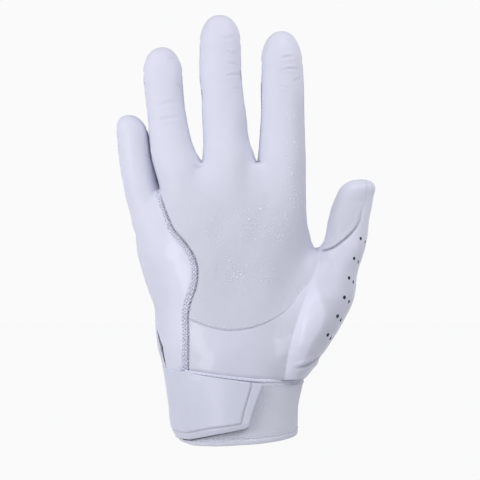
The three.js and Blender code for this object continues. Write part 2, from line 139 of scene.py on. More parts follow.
# (height, front, back) of each limb in millimetres, and the depth of its tip
DEPTHS = {
    "palm": [
        (0, -25, 24), (32, -24, 24), (45, -23, 22), (60, -21.5, 20), (76, -20, 18), (93, -18.5, 16.5),
        (105, -17, 15.5), (116, -16, 14.5), (127, -14.5, 13), (134, -12.5, 12), (141, -11, 10.5),
        (146, -9, 8),
    ],
    "index": [
        (90, -15, 12), (110, -16, 14), (128, -14.4, 13.2), (147, -12.4, 12), (157, -11.2, 10),
        (168, -11.2, 8.8), (183, -12, 7.6), (194, -13.2, 5.6),
    ],
    "middle": [
        (90, -16, 12), (110, -16.8, 14.8), (128, -14.8, 13.6), (147, -12.8, 12), (157, -11.4, 10.4),
        (168, -11.2, 9.2), (179, -11.6, 8.4), (190, -12.4, 7.2), (203, -13.8, 4.8),
    ],
    "ring": [
        (90, -15, 12), (110, -15.6, 14), (126, -14, 13.2), (143, -12, 11.6), (151, -11, 10),
        (158, -10.6, 8.8), (166, -10.4, 8), (175, -10.6, 7.2), (187, -12, 5.2),
    ],
    "little": [
        (85, -10, 11.6), (102, -10, 11.6), (117, -9, 11.8), (127, -7.8, 11.4), (138, -7, 10.8),
        (146, -6.8, 10), (157, -7.4, 8.8),
    ],
    "thumb": [
        (18, -19, 20), (33, -21.5, 20), (45, -24.5, 16.5), (60, -26.5, 14), (75, -26, 12), (88, -23, 11),
        (98, -19.5, 9.5), (106, -17, 7.5), (113, -16, 6), (123, -14.5, 5.2),
    ],
}
TIP_DEPTHS = {
    "palm": -0.5, "index": -6.5, "middle": -7.0, "ring": -6.5, "little": -1.5, "thumb": -6.0,
}
# How far below its lowest row each limb rounds off inside the palm
ROOT_LENGTHS = {"index": 34, "middle": 34, "ring": 34, "little": 18, "thumb": 14}
print("limbs", list(EDGES_PX))

# %% [markdown]
# The rows are read as smooth curves of height. A limb keeps, at every half millimetre, where its
# middle lies and how wide and deep it is to either side.

# %% Smooth sections
def smooth_curve(at, knots, values):
    """A smooth curve through the values, without the overshoot of a plain spline."""
    slopes = np.gradient(values, knots, edge_order=1)
    k = np.clip(np.searchsorted(knots, at) - 1, 0, len(knots) - 2)
    span = knots[k + 1] - knots[k]
    t = (at - knots[k]) / span
    rise = t * t * (3 - 2 * t)
    eased_in = slopes[k] * span * t * (1 - t) ** 2
    eased_out = slopes[k + 1] * span * t * t * (1 - t)
    return values[k] * (1 - rise) + values[k + 1] * rise + eased_in - eased_out


def make_limb(name):
    """The limb's middle and half-widths at even heights, from its rows in the photograph."""
    depths = np.array(DEPTHS[name], float)
    rows = []
    for py, left, right in EDGES_PX[name]:
        height = EYE[2] + (MIDDLE_PX - py) * -EYE[1] / FOCAL_PX
        for _ in range(3):
            front, back = (np.interp(height, depths[:, 0], depths[:, side]) for side in (1, 2))
            low, high = from_pixel([left, right], py, (front + back) / 2)
            height = low[2]
        rows.append((height, low[0], high[0]))
    rows = np.array(sorted(rows))
    z = np.arange(rows[0, 0], rows[-1, 0] + TABLE_STEP / 2, TABLE_STEP)
    z[-1] = rows[-1, 0]
    left, right = (smooth_curve(z, rows[:, 0], rows[:, side]) for side in (1, 2))
    held = np.clip(z, depths[0, 0], depths[-1, 0])
    front, back = (smooth_curve(held, depths[:, 0], depths[:, side]) for side in (1, 2))
    limb = SimpleNamespace(name=name, z=z, low=z[0], top=z[-1], tip=None, root=ROOT_LENGTHS.get(name))
    limb.x, limb.width = (left + right) / 2, (right - left) / 2
    limb.y, limb.depth = (front + back) / 2, (back - front) / 2
    if name in TIPS_PX:
        limb.tip = from_pixel(*TIPS_PX[name], TIP_DEPTHS[name])
    return limb


limbs = {name: make_limb(name) for name in EDGES_PX}
for limb in limbs.values():
    print(limb.name, "from", round(limb.low, 1), "to", round(limb.top, 1), "tip", limb.tip)

# %% [markdown]
# To join limbs without a hard crease, each one is written as a distance: below zero inside it and
# above zero outside. The direction that leads away from the surface comes with it.

# %% Distance fields
FINGER_MELT = 5.0
PALM_MELT = 11.0
FORK_MELT = 3.0
WITHDRAW = 9.0
WITHDRAW_OVER = 5.0
THUMB_MELT = 9.0
PALM_MELT_ENDS = 110, 128
TOUCH_HALVINGS = 26
FINGERS = ("index", "middle", "ring", "little")


def limb_field(limb, points):
    """Distance to the limb's surface and the direction that leads away from it."""
    x, y, z = points.T
    held = np.clip(z, limb.low, limb.top)
    centre_x, centre_y, width, depth = (
        np.interp(held, limb.z, table) for table in (limb.x, limb.y, limb.width, limb.depth)
    )
    rise = np.zeros(len(z))
    length = np.ones(len(z))
    if limb.root is not None:
        rise = np.maximum(limb.low - z, 0) / limb.root
        length[z < limb.low] = -limb.root
    if limb.tip is not None:
        above = z > limb.top
        length[above] = limb.tip[2] - limb.top
        lean = np.clip((z - limb.top) / (limb.tip[2] - limb.top), 0, 1)
        centre_x = centre_x + (limb.tip[0] - limb.x[-1]) * lean
        centre_y = centre_y + (limb.tip[1] - limb.y[-1]) * lean
        rise = np.where(above, (z - limb.top) / length, rise)
    u, v = (x - centre_x) / width, (y - centre_y) / depth
    flat = np.maximum((np.abs(u) ** ROUNDNESS + np.abs(v) ** ROUNDNESS) ** (1 / ROUNDNESS), 1e-3)
    share = np.maximum((flat**DOME + rise**DOME) ** (1 / DOME), 1e-3)
    level = (flat / share) ** (DOME - 1)
    away = np.stack(
        [
            level * np.sign(u) * (np.abs(u) / flat) ** (ROUNDNESS - 1) / width,
            level * np.sign(v) * (np.abs(v) / flat) ** (ROUNDNESS - 1) / depth,
            (rise / share) ** (DOME - 1) / length,
        ],
        axis=1,
    )
    steep = np.maximum(np.linalg.norm(away, axis=1), 0.2 / np.maximum(width, depth))
    distance = np.maximum((share - 1) / steep, -np.minimum(width, depth))
    return distance, away / steep[:, None]


before_palm = limb_field(limbs["palm"], np.array([[0.0, -50.0, 80.0]]))[0]
print("a place in front of the palm lies", before_palm.round(1), "mm off it")

# %% [markdown]
# Two distances melt into one another near where they meet. Where two surfaces already run side by
# side there is nothing to round off, so the melting fades out there, which keeps the outline that
# the photograph shows.

# %% The whole hand
def melt(a, b, reach, web=False):
    """The union of two fields, rounded off where they meet at an angle."""
    (near, near_away), (far, far_away) = a, b
    along = np.sum(near_away * far_away, axis=1)
    if web:
        along = np.maximum(along, 0)
    room = reach * (1 - np.clip(along, -1, 1) ** 2) + 1e-3
    share = np.clip(0.5 + 0.5 * (far - near) / room, 0, 1)
    distance = far * (1 - share) + near * share - room * share * (1 - share)
    away = far_away * (1 - share)[:, None] + near_away * share[:, None]
    length = np.maximum(np.linalg.norm(away, axis=1), 1e-6)
    return distance, away / length[:, None]


def ease(value, low, high):
    """From 0 at low to 1 at high, smoothly."""
    t = np.clip((np.asarray(value) - low) / (high - low), 0, 1)
    return t * t * (3 - 2 * t)


def bell(distance, half_width):
    """1 on a line, fading out on both sides of it."""
    return np.exp(-((distance / half_width) ** 2))


def blot(pixels, middle, spread):
    """1 at a place of the photograph, fading out around it."""
    return np.exp(-np.sum(((pixels - middle) / spread) ** 2, axis=1))


def hand_field(points, ends={}):
    """The whole hand. A limb named in ends is drawn in above the height given for it."""

    def limb(name):
        distance, away = limb_field(limbs[name], points)
        if name in ends:
            distance = distance + WITHDRAW * ease(points[:, 2], ends[name], ends[name] + WITHDRAW_OVER)
        return distance, away

    joined = limb("index")
    for name in FINGERS[1:]:
        joined = melt(joined, limb(name), FINGER_MELT)
    reach = PALM_MELT + (FORK_MELT - PALM_MELT) * ease(points[:, 2], *PALM_MELT_ENDS)
    return melt(melt(limb("palm"), joined, reach), limb("thumb"), THUMB_MELT, web=True)


def touch(px, py, lift=0.0):
    """Where the line of sight through each pixel meets the front of the hand."""
    px, py = np.broadcast_arrays(np.asarray(px, float), np.asarray(py, float))
    shape = px.shape
    px, py = px.ravel(), py.ravel()
    near, far = np.full(px.size, -60.0), np.full(px.size, 0.0)
    for _ in range(TOUCH_HALVINGS):
        depth = (near + far) / 2
        outside = hand_field(from_pixel(px, py, depth))[0] > lift
        near, far = np.where(outside, depth, near), np.where(outside, far, depth)
    return from_pixel(px, py, far).reshape(shape + (3,))


print("the palm seam's fork lies at", touch(158, 185).round(1))

# %% [markdown]
# The surface is read off the distance field with surface nets. Space is divided into small cells,
# each cell that the surface passes through gets one point, and each grid line that it crosses gets
# a face between the four cells around it. Unlike a remesh of overlapping shapes this keeps narrow
# gaps between fingers open.

# %% Surface meshes
CELL = 0.85
RELAX_ROUNDS = 5
RELAX_STRENGTH = 0.6


def surface_net(field, low, high):
    """Triangles where the field is zero inside a box, as points in millimetres and faces."""
    low = np.asarray(low, float)
    count = np.ceil((np.asarray(high) - low) / CELL).astype(int) + 1
    ticks = [low[axis] + CELL * np.arange(count[axis]) for axis in range(3)]
    grid = np.stack(np.meshgrid(*ticks, indexing="ij"), axis=-1).reshape(-1, 3)
    value = field(grid)[0].reshape(count)
    cells = count - 1
    total, number, quads = np.zeros((cells.prod(), 3)), np.zeros(cells.prod()), []
    for axis in range(3):
        others = [(axis + 1) % 3, (axis + 2) % 3]
        here, ahead = (value.take(range(start, count[axis] - 1 + start), axis) for start in (0, 1))
        corner = np.argwhere((here < 0) != (ahead < 0))
        corner = corner[np.all((corner[:, others] > 0) & (corner[:, others] < cells[others]), axis=1)]
        a, b = here[tuple(corner.T)], ahead[tuple(corner.T)]
        place = low + CELL * corner
        place[:, axis] += CELL * a / (a - b)
        around = []
        for step in ((0, 0), (-1, 0), (-1, -1), (0, -1)):
            beside = corner.copy()
            beside[:, others] += step
            around.append(np.ravel_multi_index(beside.T, cells))
            number += np.bincount(around[-1], minlength=len(number))
            for side in range(3):
                total[:, side] += np.bincount(around[-1], place[:, side], minlength=len(number))
        around = np.stack(around, axis=1)
        quads.append(np.where((a < 0)[:, None], around, around[:, ::-1]))
    used = number > 0
    points = total[used] / number[used][:, None]
    quads = (np.cumsum(used) - 1)[np.concatenate(quads)]
    corners = points[quads]
    across = np.linalg.norm(corners[:, :2] - corners[:, 2:], axis=2)
    long_way = across[:, 0] > across[:, 1]
    quads[long_way] = np.roll(quads[long_way], 1, axis=1)
    return points, np.concatenate([quads[:, [0, 1, 2]], quads[:, [0, 2, 3]]])


ball, ball_faces = surface_net(lambda p: (np.linalg.norm(p, axis=1) - 5, p), [-7] * 3, [7] * 3)
print("a ball of 5 mm has", len(ball_faces), "triangles")

# %% [markdown]
# The points of a net are relaxed among their neighbours and pulled back onto the field a few times,
# which makes the faces even. Normals are found for faces and for points.

# %% Smoothing and normals
def edges_of(faces):
    """Each edge once, as its two points, and the edge that lies opposite each corner."""
    pairs = np.sort(faces[:, [[1, 2], [2, 0], [0, 1]]].reshape(-1, 2), axis=1)
    keys, index = np.unique(pairs[:, 0] * (faces.max() + 1) + pairs[:, 1], return_inverse=True)
    edges = np.stack([keys // (faces.max() + 1), keys % (faces.max() + 1)], axis=1)
    return edges, index.reshape(-1, 3)


def relaxed(points, edges, strength):
    """Each point drawn towards the middle of its neighbours."""
    total = np.zeros_like(points)
    count = np.bincount(edges.ravel(), minlength=len(points)).astype(float)
    for a, b in (edges.T, edges.T[::-1]):
        for axis in range(3):
            total[:, axis] += np.bincount(a, points[b, axis], minlength=len(points))
    return points + strength * (total / np.maximum(count, 1)[:, None] - points)


def onto(points, field):
    """Points pulled onto the surface, in two steps of at most 2 mm."""
    for _ in range(2):
        distance, away = field(points)
        points = points - np.clip(distance, -2, 2)[:, None] * away
    return points


def skin_of(field, floor, low, high):
    """A smooth even skin of the field inside a box, with a flat end at the floor."""

    def floored(points):
        distance, away = field(points)
        under = floor - points[:, 2]
        ended = under > distance
        return np.where(ended, under, distance), np.where(ended[:, None], [0.0, 0.0, -1.0], away)

    points, faces = surface_net(floored, low, high)
    edges, _ = edges_of(faces)
    for _ in range(RELAX_ROUNDS):
        points = onto(relaxed(points, edges, RELAX_STRENGTH), floored)
    return points, faces


def face_normals(points, faces):
    """Normals of the faces, as long as twice their area."""
    a, b, c = (points[faces[:, corner]] for corner in range(3))
    return np.cross(b - a, c - a)


def point_normals(points, faces):
    """Normals of the points, each face counting by its area."""
    normals = np.zeros_like(points)
    across = face_normals(points, faces)
    for corner in range(3):
        for axis in range(3):
            normals[:, axis] += np.bincount(faces[:, corner], across[:, axis], minlength=len(points))
    return normals / np.maximum(np.linalg.norm(normals, axis=1), 1e-12)[:, None]


print("its edges", len(edges_of(ball_faces)[0]))

# %% [markdown]
# Seams are lines drawn on this skin. A seam is a measure that is zero on the line and grows to
# either side, so cutting is one operation: every edge whose ends have opposite signs gets a new
# point at zero. Cutting also a little to each side of the seam gives the few extra rows of points
# that a crisp stitched groove needs, without making the whole mesh finer.

# %% Cutting along lines
SNAP_SHARE = 0.16


def cut(points, faces, measure, level=0.0, within=None):
    """Splits the faces along the line where the measure equals the level."""
    value = measure(points) - level
    value[np.abs(value) < 1e-7] = 0
    edges, opposite = edges_of(faces)
    a, b = edges.T
    crossed = value[a] * value[b] < 0
    if within is not None:
        crossed &= within(points[a]) & within(points[b])
    share = np.zeros(len(edges))
    share[crossed] = value[a[crossed]] / (value[a[crossed]] - value[b[crossed]])
    # A point that lies close to the line moves onto it, so that no sliver is left beside it.
    for end, other, closeness in ((a, b, share), (b, a, 1 - share)):
        close = crossed & (closeness < SNAP_SHARE)
        move, to = end[close], other[close]
        order = np.argsort(-closeness[close])
        move, to, step = move[order], to[order], closeness[close][order]
        target = points[move] + (points[to] - points[move]) * step[:, None]
        points = points.copy()
        points[move] = target
        value[move] = 0
    crossed &= value[a] * value[b] < 0
    share[crossed] = value[a[crossed]] / (value[a[crossed]] - value[b[crossed]])
    if not crossed.any():
        return points, faces
    new_index = np.full(len(edges), -1)
    new_index[crossed] = len(points) + np.arange(crossed.sum())
    ends = points[a[crossed]], points[b[crossed]]
    points = np.concatenate([points, ends[0] + (ends[1] - ends[0]) * share[crossed][:, None]])
    middle = new_index[opposite]
    count = (middle >= 0).sum(axis=1)
    kept = [faces[count == 0]]
    for corner in range(3):
        following, last = (corner + 1) % 3, (corner + 2) % 3
        one = (count == 1) & (middle[:, corner] >= 0)
        p, q, r, m = faces[one, corner], faces[one, following], faces[one, last], middle[one, corner]
        kept += [np.stack([p, q, m], axis=1), np.stack([p, m, r], axis=1)]
        two = (count == 2) & (middle[:, corner] < 0)
        p, q, r = faces[two, corner], faces[two, following], faces[two, last]
        beside_q, beside_r = middle[two, last], middle[two, following]
        kept += [
            np.stack([p, beside_q, beside_r], axis=1),
            np.stack([beside_q, q, r], axis=1),
            np.stack([beside_q, r, beside_r], axis=1),
        ]
    return points, np.concatenate(kept)


def groove_cut(points, faces, measure, offsets, within=None):
    """Cuts along a line and at some offsets beside it, the nearest first."""
    for offset in sorted(offsets, key=abs):
        points, faces = cut(points, faces, measure, offset, within)
    return points, faces


_, halves = cut(ball, ball_faces, lambda p: p[:, 0])
print("cut in half it has", len(halves), "triangles")

# %% [markdown]
# A line read off the photograph is a smooth curve through a few pixels. Its measure is the distance
# from it, in millimetres, with opposite signs on its two sides.

# %% Lines on the photograph
def spline(points, steps=60):
    """An even smooth line through a few points."""
    points = np.array(points, float)
    length = np.concatenate([[0], np.cumsum(np.linalg.norm(np.diff(points, axis=0), axis=1))])
    at = np.linspace(0, length[-1], steps)
    return np.stack([smooth_curve(at, length, column) for column in points.T], axis=1)


def line_distance(line, at):
    """Distance from a line on the photograph, above zero on its left as it runs. Both in pixels."""
    best = np.full(len(at), np.inf)
    signed = np.zeros(len(at))
    for start, end in zip(line[:-1], line[1:]):
        along = end - start
        t = np.clip(((at - start) @ along) / (along @ along), 0, 1)
        offset = at - (start + t[:, None] * along)
        distance = np.hypot(*offset.T)
        side = offset[:, 0] * along[1] - offset[:, 1] * along[0]
        nearer = distance < best
        best = np.where(nearer, distance, best)
        signed = np.where(nearer, np.where(side >= 0, distance, -distance), signed)
    return signed


def on_photo(line):
    """A measure in millimetres of how far a place lies from a line drawn on the photograph."""

    def measure(points):
        return line_distance(line, to_pixel(points)) * (points[:, 1] - EYE[1]) / FOCAL_PX

    return measure


print("a line's points", spline([(0, 0), (30, 10), (60, 0)], 4).round(1).tolist())

# %% [markdown]
# The seams of the palm side, read off the photograph. The knit gusset winds from the fork of the
# ring and little fingers down to the cuff. The grip panel ends in a wide bow above the heel, and a
# curved seam parts the thumb's pad from its outer side. Each line runs on past the fabric's edge,
# so that it parts the whole panel.

# %% Seams on the photograph
GUSSET_RIGHT_PX = spline([
    (138, 110), (152, 160), (156.5, 176), (160.2, 188), (161.6, 196.8), (168.8, 218), (174, 229),
    (184, 240.5), (193, 253.4), (197.5, 265), (197.9, 276), (195.7, 290), (191.3, 301.6), (189, 311),
    (188.8, 338), (188.4, 371), (188.4, 400),
])
GUSSET_LEFT_PX = spline([
    (136, 110), (149.5, 160), (154.5, 176), (156.5, 186), (155.8, 195), (162.5, 214), (168.6, 231),
    (176.5, 240.5), (185.9, 253.4), (191.3, 266), (191.7, 277.5), (188.6, 290), (184, 301.6), (181.9, 313),
    (181.9, 338), (181.4, 371), (181.4, 400),
])
GRIP_EDGE_PX = spline([
    (150, 300), (190.8, 320), (199.3, 323.5), (217, 329.3), (236.8, 330.6), (250.4, 328.5),
    (265.7, 323.4), (283.6, 313), (293, 304.5), (301.4, 293), (310.6, 282), (317, 268),
    (320, 252), (321, 230),
])
THUMB_SEAM_PX = spline([
    (300, 250), (321.8, 250.8), (332, 248), (342, 241.6), (352.4, 232.4), (358.6, 224.3), (362.7, 209),
    (366.2, 196), (366.8, 186), (364, 170),
])
FORK_PX = spline([(149, 137), (150.8, 150), (153.6, 165), (156.4, 178), (159.4, 190), (161, 198)])
# the two edges of the flat flank of the thumb's ball
THENAR_LEFT_PX = spline([
    (316, 262), (311, 279.6), (305.5, 296), (296.4, 322.6), (289.8, 345.7), (285.2, 375.5), (283, 395),
])
THENAR_RIGHT_PX = spline([
    (318, 262), (313.8, 280), (319.5, 296), (323.7, 309.3), (321.2, 324.2), (309.7, 344),
    (299.8, 367), (294.8, 377), (287, 395),
])
GROOVE_OFFSETS = (0.0, -0.42, 0.42, -0.9, 0.9)

gusset_right = on_photo(GUSSET_RIGHT_PX)
gusset_left = on_photo(GUSSET_LEFT_PX)
grip_edge = on_photo(GRIP_EDGE_PX)
thumb_seam = on_photo(THUMB_SEAM_PX)


print("gusset from", GUSSET_RIGHT_PX[0], "to", GUSSET_RIGHT_PX[-1])

# %% [markdown]
# The seam between palm side and back runs down both edges of the hand. At the wrist of the little
# finger's side it comes forward, and there it is left open for a short way as a vent. The cuff
# starts below a line that falls a little towards the thumb.

# %% Side seam, vent and cuff line
SIDE_SEAM_DEPTHS = {"palm": 2.0, "thumb": 2.5}
SEAM_MIX = 2.5
VENT_LOW, VENT_HIGH = 37.0, 57.5
VENT_GAPE = 1.0
FORWARD_Z = np.array([30.0, 36.0, 41.0, 48.0, 53.0, 58.0, 66.0, 76.0])
FORWARD = np.array([10.5, 11.5, 12.5, 12.5, 10.5, 7.5, 2.5, 0.0])
CUFF_LINE_X = np.array([-60.0, -38.0, -22.5, -5.0, 11.0, 30.0, 60.0])
CUFF_LINE_Z = np.array([35.6, 35.8, 36.0, 33.9, 32.1, 31.5, 31.3])


def seam_depth(points):
    """How deep the side seam lies at each place: the middle of whichever limb is nearest."""
    total = np.zeros(len(points))
    weights = np.zeros(len(points))
    for name, limb in limbs.items():
        distance, _ = limb_field(limb, points)
        weight = np.exp(-np.clip(distance, -6, 30) / SEAM_MIX)
        middle = np.interp(points[:, 2], limb.z, limb.y)
        total += weight * SIDE_SEAM_DEPTHS.get(name, middle)
        weights += weight
    depth = total / weights
    return depth - np.interp(points[:, 2], FORWARD_Z, FORWARD) * (points[:, 0] < 0)


def side_seam(points):
    return points[:, 1] - seam_depth(points)


def cuff_line(points):
    """Height above the line where the hand's fabric ends and the cuff begins."""
    return points[:, 2] - np.interp(points[:, 0], CUFF_LINE_X, CUFF_LINE_Z)


def vent(points):
    """Above zero inside the slit, which is widest in its middle."""
    along = np.clip((points[:, 2] - VENT_LOW) / (VENT_HIGH - VENT_LOW), 0, 1)
    gape = VENT_GAPE * np.sin(math.pi * along) ** 0.8
    gape = np.where((along <= 0) | (along >= 1) | (points[:, 0] > 0), -1.0, gape)
    return gape - np.abs(side_seam(points))


print("cuff line at", cuff_line(touch([200, 290], 376)).round(1), "mm")

# %% [markdown]
# Fabric is never a clean shell. The relief adds what cloth does over a hand: grooves where seams
# pull in, the grip panel's thickness, the sunken gusset, the hollow of the palm, and the small folds
# at fingertips, thumb and wrist. It is one function of place, so pieces that meet still match.

# %% Relief
HOLLOWS_PX = [  # middle, spread across and along in pixels, height in millimetres
    ((243, 283), (30, 34), -1.7), ((300, 245), (16, 24), -0.7), ((222, 226), (13, 12), -0.35),
    ((262, 222), (12, 14), -0.3), ((182, 232), (12, 12), 0.5), ((205, 226), (11, 11), 0.4),
    ((242, 222), (11, 12), 0.4), ((283, 214), (13, 16), 0.4), ((222, 350), (26, 13), 0.5),
    ((305, 322), (14, 26), 0.9), ((150, 262), (9, 30), 0.5), ((331, 268), (7, 12), -0.5),
]
FOLDS_PX = [  # a line, its depth and half-width in millimetres
    (((281, 58.5), (287, 57), (295, 56)), 0.32, 0.6), (((279, 72), (286, 69.2), (299, 69.5)), 0.34, 0.5),
    (((285, 41), (288, 40.3), (292, 41.5)), 0.22, 0.5), (((292, 82), (296, 80.5), (300, 77)), 0.28, 0.6),
    (((279, 87.4), (283, 87), (288, 88)), 0.2, 0.5), (((226, 51.5), (232, 53.6), (238, 52)), 0.24, 0.6),
    (((226, 64.5), (231, 63.4), (237, 65)), 0.28, 0.6), (((225, 76.5), (232, 75), (240, 75)), 0.34, 0.6),
    (((232, 89.5), (236, 88.5), (240, 89.5)), 0.24, 0.6), (((222, 37.5), (228, 38.6), (234, 36)), 0.2, 0.7),
    (((156, 106.5), (165, 103.5), (177, 101)), 0.15, 1.0),
    (((158, 120.5), (166, 118.6), (180, 116.5)), 0.2, 0.8),
    (((175.5, 83), (179.5, 87), (182, 94)), 0.42, 0.5), (((167, 59), (171, 58), (175, 60)), 0.25, 0.8),
    (((254, 163), (258, 161.5), (262, 162)), 0.35, 0.6),
    (((193, 165), (198, 167.5), (204, 166)), 0.3, 0.7),
    (((295, 368.5), (306, 365), (315, 359.5), (321, 354)), 0.75, 0.9),
    (((322, 256), (330, 262), (334, 270)), 0.2, 1.3), (((146, 300), (154, 306), (160, 316)), 0.13, 1.8),
]
FOLD_STRENGTH = 1.4
FOLD_RIDGE = 0.55
FOLD_MARGIN_PX = 5
GROOVES = {  # depth and half-width in millimetres
    "bow": (0.22, 0.36), "gusset_right": (0.8, 0.34), "gusset_left": (0.24, 0.5), "side": (0.4, 0.5),
    "cuff": (0.35, 0.9), "strip": (0.4, 0.5), "thumb": (1.05, 0.5), "thumb_ridge": (-0.34, 0.9),
    "thumb_row": (0.16, 0.5), "gusset_ridge": (-0.22, 0.5),
}
GRIP_RISE = 0.38
GUSSET_DROP = 0.35
VALLEY, CREST = 0.7, 1.4
VALLEY_REACH, CREST_REACH = 8, 13
FORK_RISE, FORK_HALF = 0.85, 2.2
FORK_FADE = 123, 128
thenar_left, thenar_right = on_photo(THENAR_LEFT_PX), on_photo(THENAR_RIGHT_PX)
fork_line = on_photo(FORK_PX)


def groove(distance, depth, half_width):
    """A groove along a line, or with a depth below zero a ridge."""
    return -depth * bell(distance, half_width)


def front_share(side):
    """1 on the palm side and 0 behind the side seam."""
    return 1 - ease(side, -3, 0)


def fold_relief(points, pixels):
    """The folds, each a groove between two low ridges that fades out towards its ends."""
    height = np.zeros(len(points))
    for line, depth, half_width in FOLDS_PX:
        line = spline(line, 9)
        low, high = line.min(axis=0) - FOLD_MARGIN_PX, line.max(axis=0) + FOLD_MARGIN_PX
        near = np.all((pixels > low) & (pixels < high), axis=1)
        if not near.any():
            continue
        distance = line_distance(line, pixels[near]) * PALM_MM_PER_PX
        ends = np.linalg.norm(line[-1] - line[0]) / 2
        from_middle = np.linalg.norm(pixels[near] - (line[-1] + line[0]) / 2, axis=1)
        fading = 1 - ease(from_middle, ends * 0.5, ends * 1.15)
        ridge = FOLD_RIDGE * depth * bell(np.abs(distance) - 2 * half_width, 1.1 * half_width)
        height[near] += FOLD_STRENGTH * (groove(distance, depth, half_width) + ridge) * fading
    return height


def cloth_waves(points):
    """Slow unevenness, as of fabric that isn't quite tight."""
    x, y, z = points.T
    long_waves = np.sin(x * 0.21 + 1.3 * np.sin(z * 0.09)) * np.sin(z * 0.13 + y * 0.1 + 0.8)
    short_waves = np.sin(x * 0.47 + z * 0.31 + 2.0) * np.sin(z * 0.53 - x * 0.17 + y * 0.3)
    return 0.13 * long_waves + 0.05 * short_waves


def front_relief(points):
    """Folds and hollows of the palm side."""
    pixels = to_pixel(points)
    height = fold_relief(points, pixels)
    for middle, spread, rise in HOLLOWS_PX:
        height += rise * blot(pixels, middle, spread)
    return height


print("folds", len(FOLDS_PX), "hollows", len(HOLLOWS_PX))

# %% [markdown]
# The thumb has the strongest forms: the curved seam below its pad, and its ball, a flat flank
# between a shallow valley and a crest.

# %% Ball of the thumb
def grip_share(points):
    """The grip panel is thick in the palm and thins out towards the index finger's side."""
    return 1 - 0.75 * ease(to_pixel(points)[:, 0], 288, 306)


def thumb_arc(points):
    """The curved seam below the thumb's pad: a groove, and above it a soft ridge and a sewn row."""
    seam, pixels = thumb_seam(points), to_pixel(points)
    fading = ease(pixels[:, 1], 200, 226) * ease(pixels[:, 0], 316, 322)
    ridge, row = groove(seam - 1.7, *GROOVES["thumb_ridge"]), groove(seam - 3.2, *GROOVES["thumb_row"])
    return fading * (groove(seam, *GROOVES["thumb"]) + ridge + row)


def thenar_share(points):
    """The ways from both edges of the thumb ball's flank, the share of the way across it, and a fade."""
    left, right, py = thenar_left(points), thenar_right(points), to_pixel(points)[:, 1]
    across = np.clip(left / np.maximum(left - right, 1e-6), 0, 1)
    across = np.where(left <= 0, 0.0, np.where(right >= 0, 1.0, across))
    fade = ease(py, 283, 300) * (1 - 0.5 * ease(py, 366, 376)) * ease(-grip_edge(points), -0.5, 2.5)
    return left, right, across, fade


def thenar_relief(points):
    """The valley left of the thumb's ball, the flank that climbs out of it and the crest at its right."""
    left, right, across, fade = thenar_share(points)
    valley = -VALLEY * np.exp(np.clip(left, -60, 0) / VALLEY_REACH)
    crest = CREST * bell(np.clip(right, 0, None), CREST_REACH)
    flank = -VALLEY + (VALLEY + CREST) * across
    return fade * np.where(left < 0, valley, np.where(right > 0, crest, flank))


print("valley", VALLEY, "crest", CREST, "mm")

# %% [markdown]
# All of it together is the relief of the hand: grooves and ridges along the seams, the grip panel's
# thickness, the sunken gusset, the thumb, folds and hollows.

# %% Relief of the hand
def fork_bulge(points):
    """The knit edges in the narrow fork of ring and little finger are bulky and close it behind."""
    height = ease(points[:, 2], 125, 129) * (1 - ease(points[:, 2], 144, 149))
    return FORK_RISE * bell(fork_line(points), FORK_HALF) * ease(points[:, 1], -2.5, 1.0) * height


def hand_relief(points):
    """All that stands out from or sinks into the smooth hand, in millimetres."""
    side = side_seam(points)
    front = front_share(side)
    right, left, bow = gusset_right(points), gusset_left(points), grip_edge(points)
    height = front_relief(points) * front
    grip = GRIP_RISE * ease(bow, -0.1, 0.7) + groove(bow, *GROOVES["bow"])
    height += (right > 0) * front * grip_share(points) * grip
    fork = 1 - ease(points[:, 2], *FORK_FADE)
    height -= GUSSET_DROP * ease(-right, -0.1, 0.6) * ease(left, -0.1, 0.8) * front * fork
    beside = groove(right + 0.15, *GROOVES["gusset_right"]) + groove(left, *GROOVES["gusset_left"])
    height += beside * front * fork
    ridge = groove(right - 0.9, *GROOVES["gusset_ridge"])
    height += ridge * front * ease(points[:, 2], 88, 96) * fork
    height += (thumb_arc(points) + thenar_relief(points)) * front + fork_bulge(points)
    height += groove(side, *GROOVES["side"])
    strap_root = 0.9 * front * (1 - ease(points[:, 0], -28, -23))
    height += groove(cuff_line(points), *GROOVES["cuff"]) * (1 - strap_root)
    return height + cloth_waves(points)


print("relief in the palm", hand_relief(touch([200, 240], 300)).round(2), "mm")

# %% [markdown]
# The digits' own seams: along both sides of each finger a narrow knit strip lies between front and
# back. It starts as a point where the finger leaves the hand and ends below the tip, which the
# front panel wraps. The thumb has no strips. Its front is parted by the curved seam instead.

# %% Finger seams
DIGITS = FINGERS + ("thumb",)
PLANES = {"index": 148.0, "middle": 148.0, "ring": 145.0, "little": 129.0, "thumb": 98.75}
JOINT_HEIGHTS = {"index": 163.0, "middle": 165.5, "ring": 159.0, "little": 139.0, "thumb": 106.2}
STRIP_HALF = 3.0
STRIP_START = 9.0
WRAP_RISE = 4.0


def strip_edges(name, points):
    """Two measures: above zero on the front panel, and above zero on the back panel."""
    if name == "thumb":
        side = side_seam(points)
        return -side, side
    limb = limbs[name]
    _, y, z = points.T
    past = z - PLANES[name]
    settled = ease(past, 0, STRIP_START)
    middle = seam_depth(points) * (1 - settled) + np.interp(z, limb.z, limb.y) * settled
    half = STRIP_HALF * ease(past, -0.5, STRIP_START)
    front = np.maximum(middle - half - y, z - limb.top - WRAP_RISE)
    back = np.minimum(y - middle - half, limb.top + WRAP_RISE - z)
    return front, back


def digit_relief(name, points):
    """The same for a finger or the thumb."""
    front_side, back_side = strip_edges(name, points)
    front = ease(front_side, 0, 3)
    height = front_relief(points) * front
    height += groove(np.minimum(np.abs(front_side), np.abs(back_side)), *GROOVES["strip"])
    if name == "thumb":
        height += thumb_arc(points) * front
    elif name != "little":
        height += GRIP_RISE * grip_share(points) * front
    if name in ("ring", "little"):
        height += fork_bulge(points)
    return height + cloth_waves(points)


